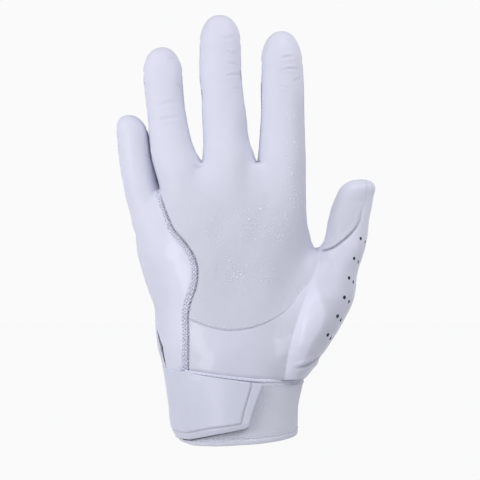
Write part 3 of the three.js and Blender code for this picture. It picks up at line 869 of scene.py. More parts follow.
print("parts begin at", PLANES)

# %% [markdown]
# A row of small ventilation holes follows the edge of the thumb's ball, two by two. Each hole is
# placed by its pixel, found on the skin, and punched: a few cuts through its middle make the mesh
# fine enough there, and a last cut on a circle gives its edge.

# %% Ventilation holes
HOLES_PX = [
    (360.8, 238.6), (354.5, 258.5), (349.6, 278), (344.3, 297.4), (336.6, 316), (326.4, 334.6),
    (365.2, 241.9), (358.6, 261.9), (353.5, 282.1), (348.4, 301.6), (339.5, 319.6), (328.8, 338),
]
HOLE_RADIUS = 0.92
HOLE_REACH = 2.6
hole_centres = touch(*np.array(HOLES_PX).T)
hole_axes = hand_field(hole_centres)[1]


def by_hole(points):
    """Way from the nearest hole's middle, along and across its axis."""
    gaps = np.linalg.norm(points[:, None] - hole_centres, axis=2)
    nearest = gaps.argmin(axis=1)
    offset, axis = points - hole_centres[nearest], hole_axes[nearest]
    return offset - np.sum(offset * axis, axis=1)[:, None] * axis, gaps.min(axis=1)


def hole(points):
    """Below zero inside a hole."""
    across, gap = by_hole(points)
    return np.where(gap < 4, np.linalg.norm(across, axis=1) - HOLE_RADIUS, 4)


def punched(points, faces):
    """The mesh with a ring of points round each hole."""
    close = lambda p: by_hole(p)[1] < HOLE_REACH
    for turn in np.arange(4) * math.pi / 4:
        line = np.array([math.cos(turn), 0.35 * math.cos(turn), math.sin(turn)])
        points, faces = cut(points, faces, lambda p: by_hole(p)[0] @ line, within=close)
    for level in (0.0, 0.45, -0.4):
        points, faces = cut(points, faces, hole, level, within=close)
    return points, faces


print("holes", len(hole_centres))

# %% [markdown]
# The skin is made in six parts, the hand and its five digits, because each bends by itself and gets
# its own seams. Each part reaches a little past the plane where the next begins. Relief and shading
# normals are worked out on these longer parts, which then are cut at the plane, so no seam shows
# where two parts of the same fabric meet.

# %% Where the parts meet
OVERLAP = 4.0
CORE_BOX = (-64, -32, 24), (68, 28, 153)
CORE_FLOOR = 26.0
STUB = 2.5
CALMING_ROUNDS = 45
CALMING_STRENGTH = 0.7
FORK_SHARE = 1.0


def past_plane(name):
    """Above zero where the digit's own part of the skin begins."""

    def measure(points):
        own = limb_field(limbs[name], points)[0]
        others = [limb_field(limbs[other], points)[0] for other in DIGITS if other != name]
        if name == "thumb":
            others.append(limb_field(limbs["palm"], points)[0])
        past = points[:, 2] - PLANES[name]
        return np.where(past > STUB, past, np.minimum(past, np.min(others, axis=0) - own))

    return measure


def in_core(points):
    """True where a place on the core isn't part of a digit's own skin."""
    belongs = np.ones(len(points), bool)
    for name in DIGITS:
        belongs &= points[:, 2] < PLANES[name]
    own = np.stack([limb_field(limbs[name], points)[0] for name in DIGITS])
    planes = np.array([PLANES[name] for name in DIGITS])[:, None]
    top = np.where(own < own.min(axis=0) + FORK_SHARE, planes, -1e9).max(axis=0)
    return belongs | (points[:, 2] < top)


def dropped(points, faces, unwanted):
    """The mesh without some faces and without the points that only they used."""
    faces = faces[~unwanted]
    used = np.unique(faces)
    index = np.zeros(len(points), int)
    index[used] = np.arange(len(used))
    return points[used], index[faces], used


def middles(points, faces):
    """The middle of each face."""
    return points[faces].mean(axis=1)


def calmed(points, faces):
    """The front of the palm smoothed, so that the fingers' roots leave no creases in it."""
    facing = ease(-point_normals(points, faces)[:, 1], 0.5, 0.8)
    ways = [np.clip(limb_field(limbs[name], points)[0], -8, 60) for name in DIGITS]
    near = np.exp(-np.stack(ways) / 3)
    plane = np.array([PLANES[name] for name in DIGITS]) @ near / near.sum(axis=0)
    share = facing * ease(points[:, 2], 32, 42) * (1 - ease(points[:, 2], plane - 13, plane - 4))
    edges, _ = edges_of(faces)
    for _ in range(CALMING_ROUNDS):
        points = points + share[:, None] * (relaxed(points, edges, CALMING_STRENGTH) - points)
    return points


print("parts reach", OVERLAP, "mm past their planes")

# %% [markdown]
# Both kinds of skin are made the same way: a net of the field, cuts along its lines, and the
# relief. The hand has stubs where the digits leave it, and a digit has stubs of its neighbours.

# %% Hand and digits
def made_core():
    """The hand without its digits, cut along all its lines."""
    stubs = {name: PLANES[name] + STUB for name in DIGITS}
    points, faces = skin_of(lambda p: hand_field(p, stubs), CORE_FLOOR, *CORE_BOX)
    points = calmed(points, faces)
    front = lambda p: side_seam(p) < 3
    for measure, offsets, within in (
        (side_seam, GROOVE_OFFSETS, None),
        (gusset_right, GROOVE_OFFSETS, front),
        (gusset_left, (0, -0.6, 0.6), front),
        (grip_edge, (0, -0.4, 0.4, 0.8), lambda p: (gusset_right(p) > -2) & front(p) & (p[:, 2] > 30)),
        (thumb_seam, (0, -0.5, 0.5), lambda p: front(p) & (p[:, 2] > 90)),
        (cuff_line, (0, 0.5, 1.0, 1.6, -0.6), None),
        (vent, (0,), None),
    ):
        points, faces = groove_cut(points, faces, measure, offsets, within)
    points, faces = punched(points, faces)
    return groove_cut(points, faces, lambda p: p[:, 2], sorted(set(PLANES.values())))


def made_digit(name):
    """A finger or the thumb from a little below its plane, cut along its lines."""
    limb, plane = limbs[name], PLANES[name]
    floor = plane - OVERLAP
    tall = limb.z > floor
    low = [(limb.x - limb.width)[tall].min() - 3, (limb.y - limb.depth)[tall].min() - 4, floor - 2]
    high = [(limb.x + limb.width)[tall].max() + 3, (limb.y + limb.depth)[tall].max() + 4, limb.tip[2] + 2]
    low, high = np.minimum(low, limb.tip - 4), np.maximum(high, limb.tip + 4)
    others = {other: plane + STUB for other in limbs if other != name}
    points, faces = skin_of(lambda p: hand_field(p, others), floor, low, high)
    for side in (0, 1):
        edge = lambda p: strip_edges(name, p)[side]
        points, faces = groove_cut(points, faces, edge, (0, -0.45, 0.45))
    if name == "thumb":
        front = lambda p: side_seam(p) < 2
        points, faces = groove_cut(points, faces, thumb_seam, (0, -0.5, 0.5, -1.0, 1.0), front)
        points, faces = punched(points, faces)
    points, faces = cut(points, faces, lambda p: p[:, 2] - JOINT_HEIGHTS[name])
    return cut(points, faces, past_plane(name), within=lambda p: p[:, 2] < plane + 6)


def dressed(points, faces, relief):
    """The skin, its points lifted by the relief, and the normals of the lifted surface."""
    lifted = points + hand_field(points)[1] * relief(points)[:, None]
    return points, faces, lifted, point_normals(lifted, faces)


skins = {"hand": dressed(*made_core(), hand_relief)}
for name in DIGITS:
    skins[name] = dressed(*made_digit(name), lambda p: digit_relief(name, p))
for name, (points, faces, *_) in skins.items():
    print(name, len(points), "points", len(faces), "triangles")

# %% [markdown]
# Every panel becomes a closed piece with a real fabric thickness: its outer skin, an inner skin just
# behind it, and a rim between the two. The shading normals found above are given to the new mesh,
# so neighbouring panels are lit as one surface while each keeps its own material.

# %% Panels with thickness
WALL = 1.1
materials = {}
pieces = {}


def walled(points, faces, normals, wall=WALL):
    """A closed shell with its three kinds of corner normals: outside, inside and rim."""
    count = len(points)
    directed = faces[:, [[0, 1], [1, 2], [2, 0]]].reshape(-1, 2)
    keys = directed.min(axis=1) * count + directed.max(axis=1)
    _, first, number = np.unique(keys, return_index=True, return_counts=True)
    a, b = directed[first[number == 1]].T
    rim = [np.stack([b, a, a + count], axis=1), np.stack([b, a + count, b + count], axis=1)]
    rim = np.concatenate(rim)
    thickness = np.broadcast_to(wall, (count,))[:, None]
    points = np.concatenate([points, points - normals * thickness])
    rim_normals = face_normals(points, rim)
    rim_normals /= np.maximum(np.linalg.norm(rim_normals, axis=1), 1e-12)[:, None]
    rim_normals = np.repeat(rim_normals[:, None], 3, axis=1)
    corner_normals = np.concatenate([normals[faces], -normals[faces[:, ::-1]], rim_normals])
    return points, np.concatenate([faces, faces[:, ::-1] + count, rim]), corner_normals


def in_scene(name, data):
    """A new object with this data, in the scene."""
    thing = bpy.data.objects.new(name, data)
    bpy.context.scene.collection.objects.link(thing)
    return thing


def as_piece(name, mesh, finish):
    """The mesh as a visible piece, which gets the fabric named finish at the end."""
    piece = in_scene(name, mesh)
    piece["finish"] = finish
    pieces[name] = piece
    return piece


def new_piece(name, points, faces, corner_normals=None, finish="smooth"):
    """A piece from points in millimetres and triangles."""
    mesh = bpy.data.meshes.new(name)
    mesh.vertices.add(len(points))
    mesh.vertices.foreach_set("co", (points * MM).astype(np.float32).ravel())
    mesh.loops.add(faces.size)
    mesh.loops.foreach_set("vertex_index", faces.astype(np.int32).ravel())
    mesh.polygons.add(len(faces))
    mesh.polygons.foreach_set("loop_start", np.arange(0, faces.size, 3, dtype=np.int32))
    mesh.update(calc_edges=True)
    mesh.shade_smooth()
    if corner_normals is not None:
        mesh.normals_split_custom_set(corner_normals.reshape(-1, 3).tolist())
    return as_piece(name, mesh, finish)


def give_values(mesh, name, values):
    """A number or a vector for each point of the mesh, which a material or a tree can read."""
    kind, key = ("FLOAT", "value") if values.ndim == 1 else ("FLOAT_VECTOR", "vector")
    attribute = mesh.attributes.new(name, kind, "POINT")
    attribute.data.foreach_set(key, values.astype(np.float32).ravel())


print("wall", WALL, "mm")

# %% [markdown]
# Real fabric isn't one even tone. Each point of a panel carries a number called seam, which darkens
# it: painted shade in the seams, folds and short creases, painted shade where the cloth turns from
# the light, and the print. Below zero it lightens, as a painted highlight.

# %% Tones
# The crease above the cuff, which gets painted shade.
CREASE_PX = spline([(292, 368.6), (297, 368), (306, 365), (315, 359.5), (321, 354), (326, 349)])
SHADE_LINES_PX = [  # painted shade in short creases and along lines beside the fingers: line, width in pixels, tone
    (((261.2, 84), (260.7, 95), (260.6, 108)), 1.0, 0.8),
    (((201.6, 91), (201.9, 95), (202.3, 99)), 0.9, 0.6),
    (((240.2, 71.5), (240.8, 75), (241.3, 79)), 1.0, 0.9),
    (((183.6, 95), (185.6, 106), (188, 117)), 0.8, 0.45),
    (((194, 165.5), (199, 167), (204.5, 166)), 0.8, 0.12),
    (((254, 163), (258, 162), (262.5, 162.5)), 0.8, 0.12),
]
HIGHLIGHTS_PX = [  # painted highlights: middle, spread in pixels, strength
    ((354.2, 187.5), (3.0, 2.2), 0.14), ((356.4, 247), (1.6, 5.5), 0.1), ((331.4, 252.6), (3.0, 1.3), 0.12),
    ((283, 43), (4.5, 5.5), 0.06), ((172.5, 72), (3.2, 9.0), 0.07), ((212, 60), (7.0, 12.0), 0.03),
]
SEAM_HALF = 0.5
# Strengths of the painted highlight on the thumb ball's flank, of the painted shade right of its crest and
# in the folds, and of the darker tone towards the little finger's edge.
FLANK_HIGHLIGHT, OUTER_SHADE, SIDE_TONE, FOLD_SHADE = 0.12, 0.11, 0.09, 0.28


def shade_lines_and_highlights(pixels):
    """Painted shade along short lines, and painted highlights at a few places."""
    tone = np.zeros(len(pixels))
    for line, width, depth in SHADE_LINES_PX:
        tone = np.maximum(tone, depth * bell(line_distance(spline(line, 9), pixels), width))
    for middle, spread, strength in HIGHLIGHTS_PX:
        tone -= strength * blot(pixels, middle, spread)
    return tone


def print_and_shade_tone(points, pixels, right, bow):
    """The print's darker tone, partly painted shade: towards the bottom and right of the palm, on the
    fingers' right sides and on the thumb's pad.
    """
    px, py = pixels.T
    printed = ease(right, 0, 1) * ease(bow, 0, 1)
    palm = 0.16 * ease(py, 150, 215) + 0.13 * ease(px, 255, 290) * ease(py, 175, 250)
    pad = 0.18 * ease(px, 322, 334) * ease(thumb_seam(points), 0, 2)
    pad *= ease(-py, -250, -240) * ease(py, 184, 204)
    finger = 0.13 * ease(px, 283, 300) * ease(py, 82, 108)
    finger += 0.12 * ease(px, 226, 243) * ease(py, 92, 125) * ease(-px, -252, -244)
    palm *= 1 - 0.55 * ease(px, 296, 318) * ease(py, 225, 245)
    return printed * (palm + finger * ease(-py, -215, -165)) + pad


def shade_light_and_print_marks(points):
    """How much each place is darkened by painted shade and print: at most about 1 in a seam, below zero at
    a painted highlight.
    """
    front = front_share(side_seam(points))
    right, left_edge, bow = gusset_right(points), gusset_left(points), grip_edge(points)
    pixels = to_pixel(points)
    px, py = pixels.T
    fork = 1 - ease(points[:, 2], *FORK_FADE)
    thumb = ease(px, 319, 323) * (1 - 0.8 * ease(-py, -238, -216))
    # Painted shade in the grooves of the gusset, the grip panel's bow, the thumb's seam and the side seam,
    # and in the crease above the cuff.
    painted_marks = [
        0.85 * bell(right + 0.1, SEAM_HALF) * front * fork,
        0.2 * bell(bow, 0.45) * (right > 0) * front * (1 - ease(px, 286, 300)),
        0.8 * bell(thumb_seam(points), SEAM_HALF) * front * thumb,
        0.25 * bell(side_seam(points), SEAM_HALF),
        0.25 * bell(line_distance(CREASE_PX, pixels), 0.8) * front * ease(px, 293, 301),
    ]
    left, crest, _, fade = thenar_share(points)
    # A painted highlight on the flank of the thumb's ball.
    flank = ease(left, -0.3, 0.3) * ease(-crest, -0.3, 0.3) * fade * front
    # Painted shade on the heel, deepest beside the thumb's ball, where the heel turns from the light.
    heel = ease(right, 0, 1) * ease(-bow, 0, 1) * ease(-left, -0.3, 0.3) * ease(-points[:, 1], 6, 10)
    heel *= 0.1 + 0.2 * ease(px, 245, 282) * ease(py, 296, 330)
    # Painted shade right of the crest of the thumb's ball.
    outer = OUTER_SHADE * ease(crest, 0.2, 2) * ease(py, 238, 252) * ease(right, 0, 1)
    side = SIDE_TONE * ease(-left_edge, 0, 1) * ease(-px, -175, -160)
    # Painted shade in the folds.
    folds = np.clip(-fold_relief(points, pixels), 0, 1) * FOLD_SHADE
    tone = print_and_shade_tone(points, pixels, right, bow) + heel - FLANK_HIGHLIGHT * flank + outer + side + folds
    tone += shade_lines_and_highlights(pixels)
    return np.max(painted_marks, axis=0) + tone * front * ease(-points[:, 1], -1.0, 1.0)


def panel(name, skin, wanted, finish):
    """The wanted faces of a skin as a walled piece with its tones."""
    points, faces, lifted, normals = skin
    kept_points, kept_faces, used = dropped(lifted, faces, ~wanted)
    piece = new_piece(name, *walled(kept_points, kept_faces, normals[used]), finish=finish)
    # The attribute named seam carries painted shade, painted highlights and the print's tone.
    give_values(piece.data, "seam", np.tile(shade_light_and_print_marks(points[used]), 2))
    return piece


# Counts of the painted shade lines and of the painted highlights.
print("toned lines", len(SHADE_LINES_PX), "polished places", len(HIGHLIGHTS_PX))

# %% [markdown]
# The hand itself has five panels: the stretch back, the smooth panel on the little finger's side,
# the knit gusset, the printed grip palm, and the smooth heel that runs round to the thumb.

# %% Panels of the hand
at = middles(*skins["hand"][:2])
side, left, right, bow = side_seam(at), gusset_left(at), gusset_right(at), grip_edge(at)
on_hand = (cuff_line(at) > 0) & (vent(at) <= 0) & (hole(at) > 0) & in_core(at)
hand_panels = {
    "back_panel": ("back_fabric", side > 0, "stretch"),
    "little_side_panel": ("little_side_fabric", (side < 0) & (left < 0), "smooth"),
    "gusset_strip": ("gusset_knit", (side < 0) & (left > 0) & (right < 0), "knit"),
    "grip_palm_panel": ("grip_palm", (side < 0) & (right > 0) & (bow > 0), "grip"),
    "smooth_palm_panel": ("heel_and_thumb_fabric", (side < 0) & (right > 0) & (bow < 0), "smooth"),
}
for node, (name, wanted, finish) in hand_panels.items():
    piece = panel(name, skins["hand"], on_hand & wanted, finish)
    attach(piece, "hand")
    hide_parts(node)
    print(name, len(piece.data.polygons), "faces")

# %% [markdown]
# Each digit has a base, from the knuckle up to the next joint, and an end above that joint. The
# front panels of the fingers carry the grip print, apart from the little finger's, which is smooth.

# %% Panels of the digits
BLENDS = {  # start and end height of the bend at the knuckle, and at the middle joint
    "index": ((148, 162), (166, 187)), "middle": ((148, 164), (168, 190)),
    "ring": ((145, 158), (161, 182)), "little": ((129, 138), (140.5, 158.5)),
    "thumb": ((98.5, 105.5), (107, 119)),
}
OWN_REACH = 3.5


def digit_parts(name):
    """Base and end of a digit: the part's name, its two bodies, and where its bend starts and ends."""
    limb = limbs[name]
    bodies = "hand", f"{name}_lower", f"{name}_upper"
    for number, (low, high) in enumerate(BLENDS[name]):
        x, y = (float(np.interp(low, limb.z, table)) * MM for table in (limb.x, limb.y))
        bend = {"start": (x, y, low * MM), "end": (x, y, high * MM)}
        yield ("base", "end")[number], bodies[number : number + 2], bend


for name in DIGITS:
    limb = limbs[name]
    at = middles(*skins[name][:2])
    own = (past_plane(name)(at) > 0) & (hole(at) > 0)
    own &= (at[:, 2] < PLANES[name] + STUB) | (limb_field(limb, at)[0] < OWN_REACH)
    front, back = strip_edges(name, at)
    if name == "thumb":
        pad = thumb_seam(at)
        parts = {
            "pad": ((front > 0) & (pad > 0), "grip"),
            "outer": ((front > 0) & (pad < 0), "smooth"),
            "back": (back > 0, "stretch"),
        }
    else:
        middle = np.interp(at[:, 2], limb.z, limb.x)
        strip = (front < 0) & (back < 0)
        parts = {
            "front": (front > 0, "smooth" if name == "little" else "grip"),
            "back": (back > 0, "stretch"),
            "left_strip": (strip & (at[:, 0] < middle), "knit"),
            "right_strip": (strip & (at[:, 0] > middle), "knit"),
        }
    above = at[:, 2] > JOINT_HEIGHTS[name]
    for part, (wanted, finish) in parts.items():
        for end, bodies, bend in digit_parts(name):
            reach = ~above if end == "base" else above
            piece = panel(f"{name}_{end}_{part}", skins[name], own & wanted & reach, finish)
            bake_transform(piece)
            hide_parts(f"{bodies[1]}_{part}")
print("pieces so far", len(pieces))

# %% [markdown]
# The wrist. Places on the cuff are given by the way round it in millimetres, from the little finger's
# side towards the palm, and by height. The cuff is an elastic band with a turned hem at its rim and
# a piping where the hand begins. It lies a little further in where the strap wraps it.

# %% Round the cuff
CUFF_TURNS = np.linspace(math.pi / 2, math.pi * 5 / 2, 721)
CUFF_MIDDLE = 16.0
STRAP_INSET = 2.5
INSET_FROM, INSET_TO = -24.0, 26.0
INSET_FADE = 12.0
PIPING = 1.7
HEM = 2.6
HAND_EDGE_Z = 34.0
RIM_X = np.array([-36.0, -27.0, -21.0, -9.0, 0.0, 13.0, 24.0, 30.0, 36.0])
RIM_Z = np.array([-1.5, -1.9, -2.0, -1.8, -1.3, -0.6, 0.3, 0.9, 1.6])


def cuff_section(turn, z):
    """The wrist's section, a superellipse, at a turn round it and a height."""
    limb = limbs["palm"]
    held = np.clip(z, limb.low, limb.top)
    x, y, width, depth = (
        np.interp(held, limb.z, table) for table in (limb.x, limb.y, limb.width, limb.depth)
    )
    power = 2 / ROUNDNESS
    across = np.sign(np.cos(turn)) * np.abs(np.cos(turn)) ** power
    deep = np.sign(np.sin(turn)) * np.abs(np.sin(turn)) ** power
    return np.stack(np.broadcast_arrays(x + width * across, y + depth * deep, z), axis=-1)


ring = cuff_section(CUFF_TURNS, np.full(len(CUFF_TURNS), CUFF_MIDDLE))
lengths = np.concatenate([[0], np.cumsum(np.linalg.norm(np.diff(ring, axis=0), axis=1))])
CUFF_AROUND = lengths - np.interp(math.pi, CUFF_TURNS, lengths)
CUFF_START, CUFF_END = CUFF_AROUND[0], CUFF_AROUND[-1]


def cuff_point(around, z, lift=0.0):
    """A place on the cuff, and the direction that faces out of it there."""
    around = CUFF_START + (around - CUFF_START) % (CUFF_END - CUFF_START)
    turn = np.interp(around, CUFF_AROUND, CUFF_TURNS)
    base = cuff_section(turn, z).reshape(-1, 3)
    away = limb_field(limbs["palm"], base)[1]
    inset = STRAP_INSET * ease(around, INSET_FROM, INSET_FROM + INSET_FADE)
    inset = inset * (1 - ease(around, INSET_TO - INSET_FADE, INSET_TO))
    return base + away * (lift - inset.ravel())[:, None], away


def hem_height(around):
    """Height of the line where the hand's fabric ends and the cuff begins."""
    points, _ = cuff_point(around, np.full(around.shape, HAND_EDGE_Z))
    return np.interp(points[:, 0], CUFF_LINE_X, CUFF_LINE_Z)


def rim_height(around):
    """The rim hangs lower on the little finger's side, below the strap."""
    points, _ = cuff_point(around, np.zeros(around.shape))
    return np.interp(points[:, 0], RIM_X, RIM_Z)


def cuff_tube(profile, around, low, high, wall):
    """A band right round the wrist. The profile gives (share of the height, lift) from bottom to top."""
    shares, lifts = np.array(profile).T
    rows = []
    for share, lift in zip(shares, lifts):
        z = low + (high - low) * share
        rows.append(cuff_point(around, z, np.broadcast_to(lift, z.shape)))
    points = np.concatenate([row[0] for row in rows])
    away = np.concatenate([row[1] for row in rows])
    count, faces = len(around), []
    a = np.arange(count)
    b = (a + 1) % count
    for row in range(len(rows) - 1):
        p, q = row * count, (row + 1) * count
        faces += [np.stack([b + p, a + p, a + q], axis=1), np.stack([b + p, a + q, b + q], axis=1)]
    faces = np.concatenate(faces)
    if np.mean(np.sum(face_normals(points, faces) * away[faces[:, 0]], axis=1)) < 0:
        faces = faces[:, ::-1]
    return walled(points, faces, point_normals(points, faces), wall)


print("cuff", round(CUFF_END - CUFF_START), "mm round")

# %% [markdown]
# The band is a tube that is drawn in a little halfway up. The hem and the piping are half round,
# one turned round the rim, the other lying in the groove between cuff and hand.

# %% Band, hem and piping
COLUMNS = 420
BAND_ROWS = 44
around = np.linspace(CUFF_START, CUFF_END, COLUMNS, endpoint=False)
hem_line, rim_line = hem_height(around), rim_height(around)
band_shares = np.linspace(0, 1, BAND_ROWS)
band_profile = [(share, -0.15 - 0.25 * math.sin(math.pi * share)) for share in band_shares]
band = cuff_tube(band_profile, around, rim_line + HEM, hem_line - PIPING, 1.5)


def half_round(low, rise, steps):
    """The profile of a turned or rolled edge."""
    turns = np.linspace(-math.pi / 2, math.pi / 2, steps)
    return [(math.sin(t) * 0.5 + 0.5, low + rise * math.cos(t)) for t in turns]


hem = cuff_tube(half_round(-0.55, 0.75, 14), around, rim_line, rim_line + HEM + 0.25, 2.2)
piping_low, piping_high = hem_line - PIPING - 0.1, hem_line + 0.35
roll = cuff_tube(half_round(-0.75, 0.8, 12), around, piping_low, piping_high, 1.6)
for name, shell, finish, node in (
    ("cuff_knit", band, "band", "cuff_band"), ("cuff_rim_hem", hem, "band", "cuff_hem"),
    ("cuff_piping", roll, "smooth", None),
):
    piece = new_piece(name, *shell, finish=finish)
    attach(piece, "hand")
    if node:
        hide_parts(node)
print("pieces so far", len(pieces))

# %% [markdown]
# The strap is a moulded tab sewn on at the little finger's side. It is drawn flat as an outline, the
# way round against the height, cut from a fine grid, and laid on the cuff. Its border is a band that
# slopes down to a thin edge at the bottom and stands up as a flat rim at the right.

# %% Patches on the cuff
STRAP_RISE = 2.5
FREE_RISE = 1.8
STRAP_STEP = 0.55
STRAP_LEAST, STRAP_OFF_CUFF = 0.5, 1.35
SHADOW_STRIP_RISE, SHADOW_STRIP_WALL = 1.15, 0.9
ROOT_END = -20.0


def around_at(px, py):
    """The way round and the height of the cuff's place that shows at a pixel."""
    table = cuff_point(CUFF_AROUND, np.full(len(CUFF_AROUND), CUFF_MIDDLE))[0]
    front = table[:, 1] < limbs["palm"].y[0]
    order = np.argsort(table[front, 0])
    x, y, _ = table[front][order].T
    depth = np.interp((px - MIDDLE_PX) * CUFF_MM_PER_PX + EYE[0], x, y)
    place = from_pixel(px, py, depth - 1.5)
    return float(np.interp(place[0], x, CUFF_AROUND[front][order])), float(place[2])


def outline_distance(outline, at):
    """Distance inside a closed outline, below zero outside it."""
    best = np.full(len(at), np.inf)
    inside = np.zeros(len(at), bool)
    for start, end in zip(outline, np.roll(outline, -1, axis=0)):
        along = end - start
        t = np.clip(((at - start) @ along) / max(along @ along, 1e-12), 0, 1)
        best = np.minimum(best, np.linalg.norm(at - (start + t[:, None] * along), axis=1))
        crosses = (start[1] > at[:, 1]) != (end[1] > at[:, 1])
        with np.errstate(divide="ignore", invalid="ignore"):
            reach = start[0] + (at[:, 1] - start[1]) / (end[1] - start[1]) * along[0]
        inside ^= crosses & (at[:, 0] < reach)
    return np.where(inside, best, -best)


def rounded(outline, radius, steps=6):
    """An outline with its corners rounded off."""
    result = []
    neighbours = np.roll(outline, 1, axis=0), outline, np.roll(outline, -1, axis=0)
    for before, corner, after in zip(*neighbours):
        a, b = (p - corner for p in (before, after))
        reach = min(radius, np.linalg.norm(a) / 2, np.linalg.norm(b) / 2)
        a, b = corner + a / np.linalg.norm(a) * reach, corner + b / np.linalg.norm(b) * reach
        for t in np.linspace(0, 1, steps):
            result.append(a * (1 - t) ** 2 + 2 * corner * t * (1 - t) + b * t * t)
    return np.array(result)


def flat_grid(low, high, step):
    """A grid of triangles over a flat box of way round and height."""
    across = np.arange(low[0], high[0] + step, step)
    up = np.arange(low[1], high[1] + step, step)
    x, z = np.meshgrid(across, up)
    points = np.stack([x.ravel(), np.zeros(x.size), z.ravel()], axis=1)
    index = np.arange(x.size).reshape(x.shape)
    corners = index[:-1, :-1], index[:-1, 1:], index[1:, 1:], index[1:, :-1]
    quads = np.stack([corner.ravel() for corner in corners], axis=1)
    return points, np.concatenate([quads[:, [0, 1, 2]], quads[:, [0, 2, 3]]])


def laid_on_cuff(outline, levels, lift, step=STRAP_STEP):
    """The outline's patch on the cuff, as places, faces and normals, and its flat places and heights.

    lift gives the height above the cuff from way round, height and distance inside the outline.
    """
    points, faces = flat_grid(outline.min(axis=0) - step, outline.max(axis=0) + step, step)
    inside = lambda p: outline_distance(outline, p[:, [0, 2]])
    for level in levels:
        points, faces = cut(points, faces, inside, level)
    points, faces, _ = dropped(points, faces, inside(middles(points, faces)) < 0)
    flat = points[:, [0, 2]]
    rise = lift(*flat.T, inside(points))
    placed, away = cuff_point(*flat.T, rise)
    if np.mean(np.sum(face_normals(placed, faces) * away[faces[:, 0]], axis=1)) < 0:
        faces = faces[:, ::-1]
    return placed, faces, point_normals(placed, faces), flat, rise


print("strap stands out", STRAP_RISE, "mm")

# %% [markdown]
# The strap's own outline and the line of its raised border come from the photograph, apart from the
# root at the little finger's side, which the photograph hides.

# %% Strap
def strap_top(around):
    """The strap's upper edge: just below the hand's edge, and a little higher before its free end."""
    return float(hem_height(np.array([around]))[0]) - 0.35 + 1.5 * float(1 - ease(around, 17, 26))


corners_px = (259.2, 383.6), (247.6, 428.0), (214.6, 434.4), (188, 439.6)
top_right, low_right, low_middle, low_left = (around_at(*corner) for corner in corners_px)
strap_outline = rounded(np.array([
    (ROOT_END, strap_top(ROOT_END)), (0, strap_top(0)), (22, strap_top(22)),
    top_right, low_right, low_middle, low_left, (2, -0.7), (ROOT_END, -0.2),
]), 1.6)
border_px = (249.2, 300), (249.0, 387), (241.2, 423.4), (209, 428.4), (187, 432.8)
border_outline = np.array([
    (ROOT_END - 5, 60), *(around_at(*corner) for corner in border_px), (-4, 4.0), (ROOT_END - 5, 4.5),
])


def strap_lift(around, z, depth):
    """The strap's face: raised inside the border's line, sloping down below, free at its right."""
    field = outline_distance(border_outline, np.stack([around, z], axis=1))
    merged = (1 - ease(around, 8, 17)) * ease(z, 30, 33)
    edge = (ease(depth, -0.05, 0.5) - 1) * 0.45 * (1 - merged)
    low_line = np.interp(around, border_outline[:2:-1, 0], border_outline[:2:-1, 1])
    below = ease(low_line - z, 0, 4.0)
    free = FREE_RISE * ease(around, 18, 46)
    groove_line = 0.5 * bell(field, 0.3) - 0.22 * ease(field, 0, 0.8)
    return STRAP_RISE + free + edge - 0.85 * below - groove_line + 0.1 * merged


placed, faces, normals, flat, rise = laid_on_cuff(strap_outline, (0, 0.12, 0.28, 0.5), strap_lift)
thickness = np.clip(rise - STRAP_OFF_CUFF, STRAP_LEAST, None)
strap = new_piece("strap_moulding", *walled(placed, faces, normals, thickness), finish="moulded")
border = outline_distance(border_outline, flat)
# Painted shade in the groove of the strap's border, and a painted highlight near its top left.
sheen = blot(to_pixel(placed), (196, 378.5), (6.5, 2.6))
painted_marks = 0.5 * bell(border, 0.34) * ease(flat[:, 0], 6, 20) - 0.1 * sheen
give_values(strap.data, "seam", np.tile(painted_marks, 2))
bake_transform(strap)
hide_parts("strap_tab", "strap_anchor")
print("strap", len(strap.data.polygons), "faces")
# A dark strip below the strap's lower edge: painted shadow under the strap.
underside = np.array([around_at(180, 440.0), low_left, low_middle, low_right])
lower = underside - [[0, 0.1], [0, 0.4], [0, 0.5], [0, 0.45]]
shadow_strip_outline = np.concatenate([lower, (underside + [0, 1.2])[::-1]])
placed, faces, normals, *_ = laid_on_cuff(
    shadow_strip_outline, (0,), lambda around, z, depth: np.full(len(around), SHADOW_STRIP_RISE)
)
shell = walled(placed, faces, normals, SHADOW_STRIP_WALL)
shadow_strip = new_piece("strap_shadow_strip", *shell, finish="lining")
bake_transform(shadow_strip)

# %% [markdown]
# A dark strip along the strap's lower edge is painted shadow: a thin dark line below the strap.
# Under the tab, a patch of hooks on the strap lies on a patch of loops on the cuff. They only show
# when the strap is peeled open.

# %% Hook and loop patches
PATCH_CORNERS = ((-25.0, 7.6), (6.8, 7.6), (6.8, 27.2), (-25.0, 27.2))
CUFF_FRONT = -22.0
patch_px = to_pixel(np.array([[x, CUFF_FRONT, z] for x, z in PATCH_CORNERS]))
patch_outline = rounded(np.array([around_at(*corner) for corner in patch_px]), 1.5)
for name, top, thick, node, body in (
    ("loop_pile", 0.4, 0.9, "loop_patch", "hand"), ("hook_pile", 1.3, 0.8, "hook_patch", "strap"),
):
    lift = lambda around, z, depth: top - 0.2 * (1 - ease(depth, 0, 0.4))
    placed, faces, normals, *_ = laid_on_cuff(patch_outline, (0, 0.3), lift, 0.9)
    piece = new_piece(name, *walled(placed, faces, normals, thick), finish="pile")
    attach(piece, body)
    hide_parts(node)
    print(name, len(piece.data.polygons), "faces")

# %% [markdown]
# Small dark discs close the holes from behind, and a dark strip lies behind the vent. They are
# painted shade for the glove's inside, which shows dark through them.

# %% Painted shade behind holes and vent
DISC_SIDES = 16
DISC_DEPTH, DISC_WALL = 0.32, 0.5
VENT_SHADE_GAP, VENT_SHADE_WALL = 0.7, 0.4
THUMB_DISCS_X, THUMB_DISCS_Y = 0.0456, -0.005


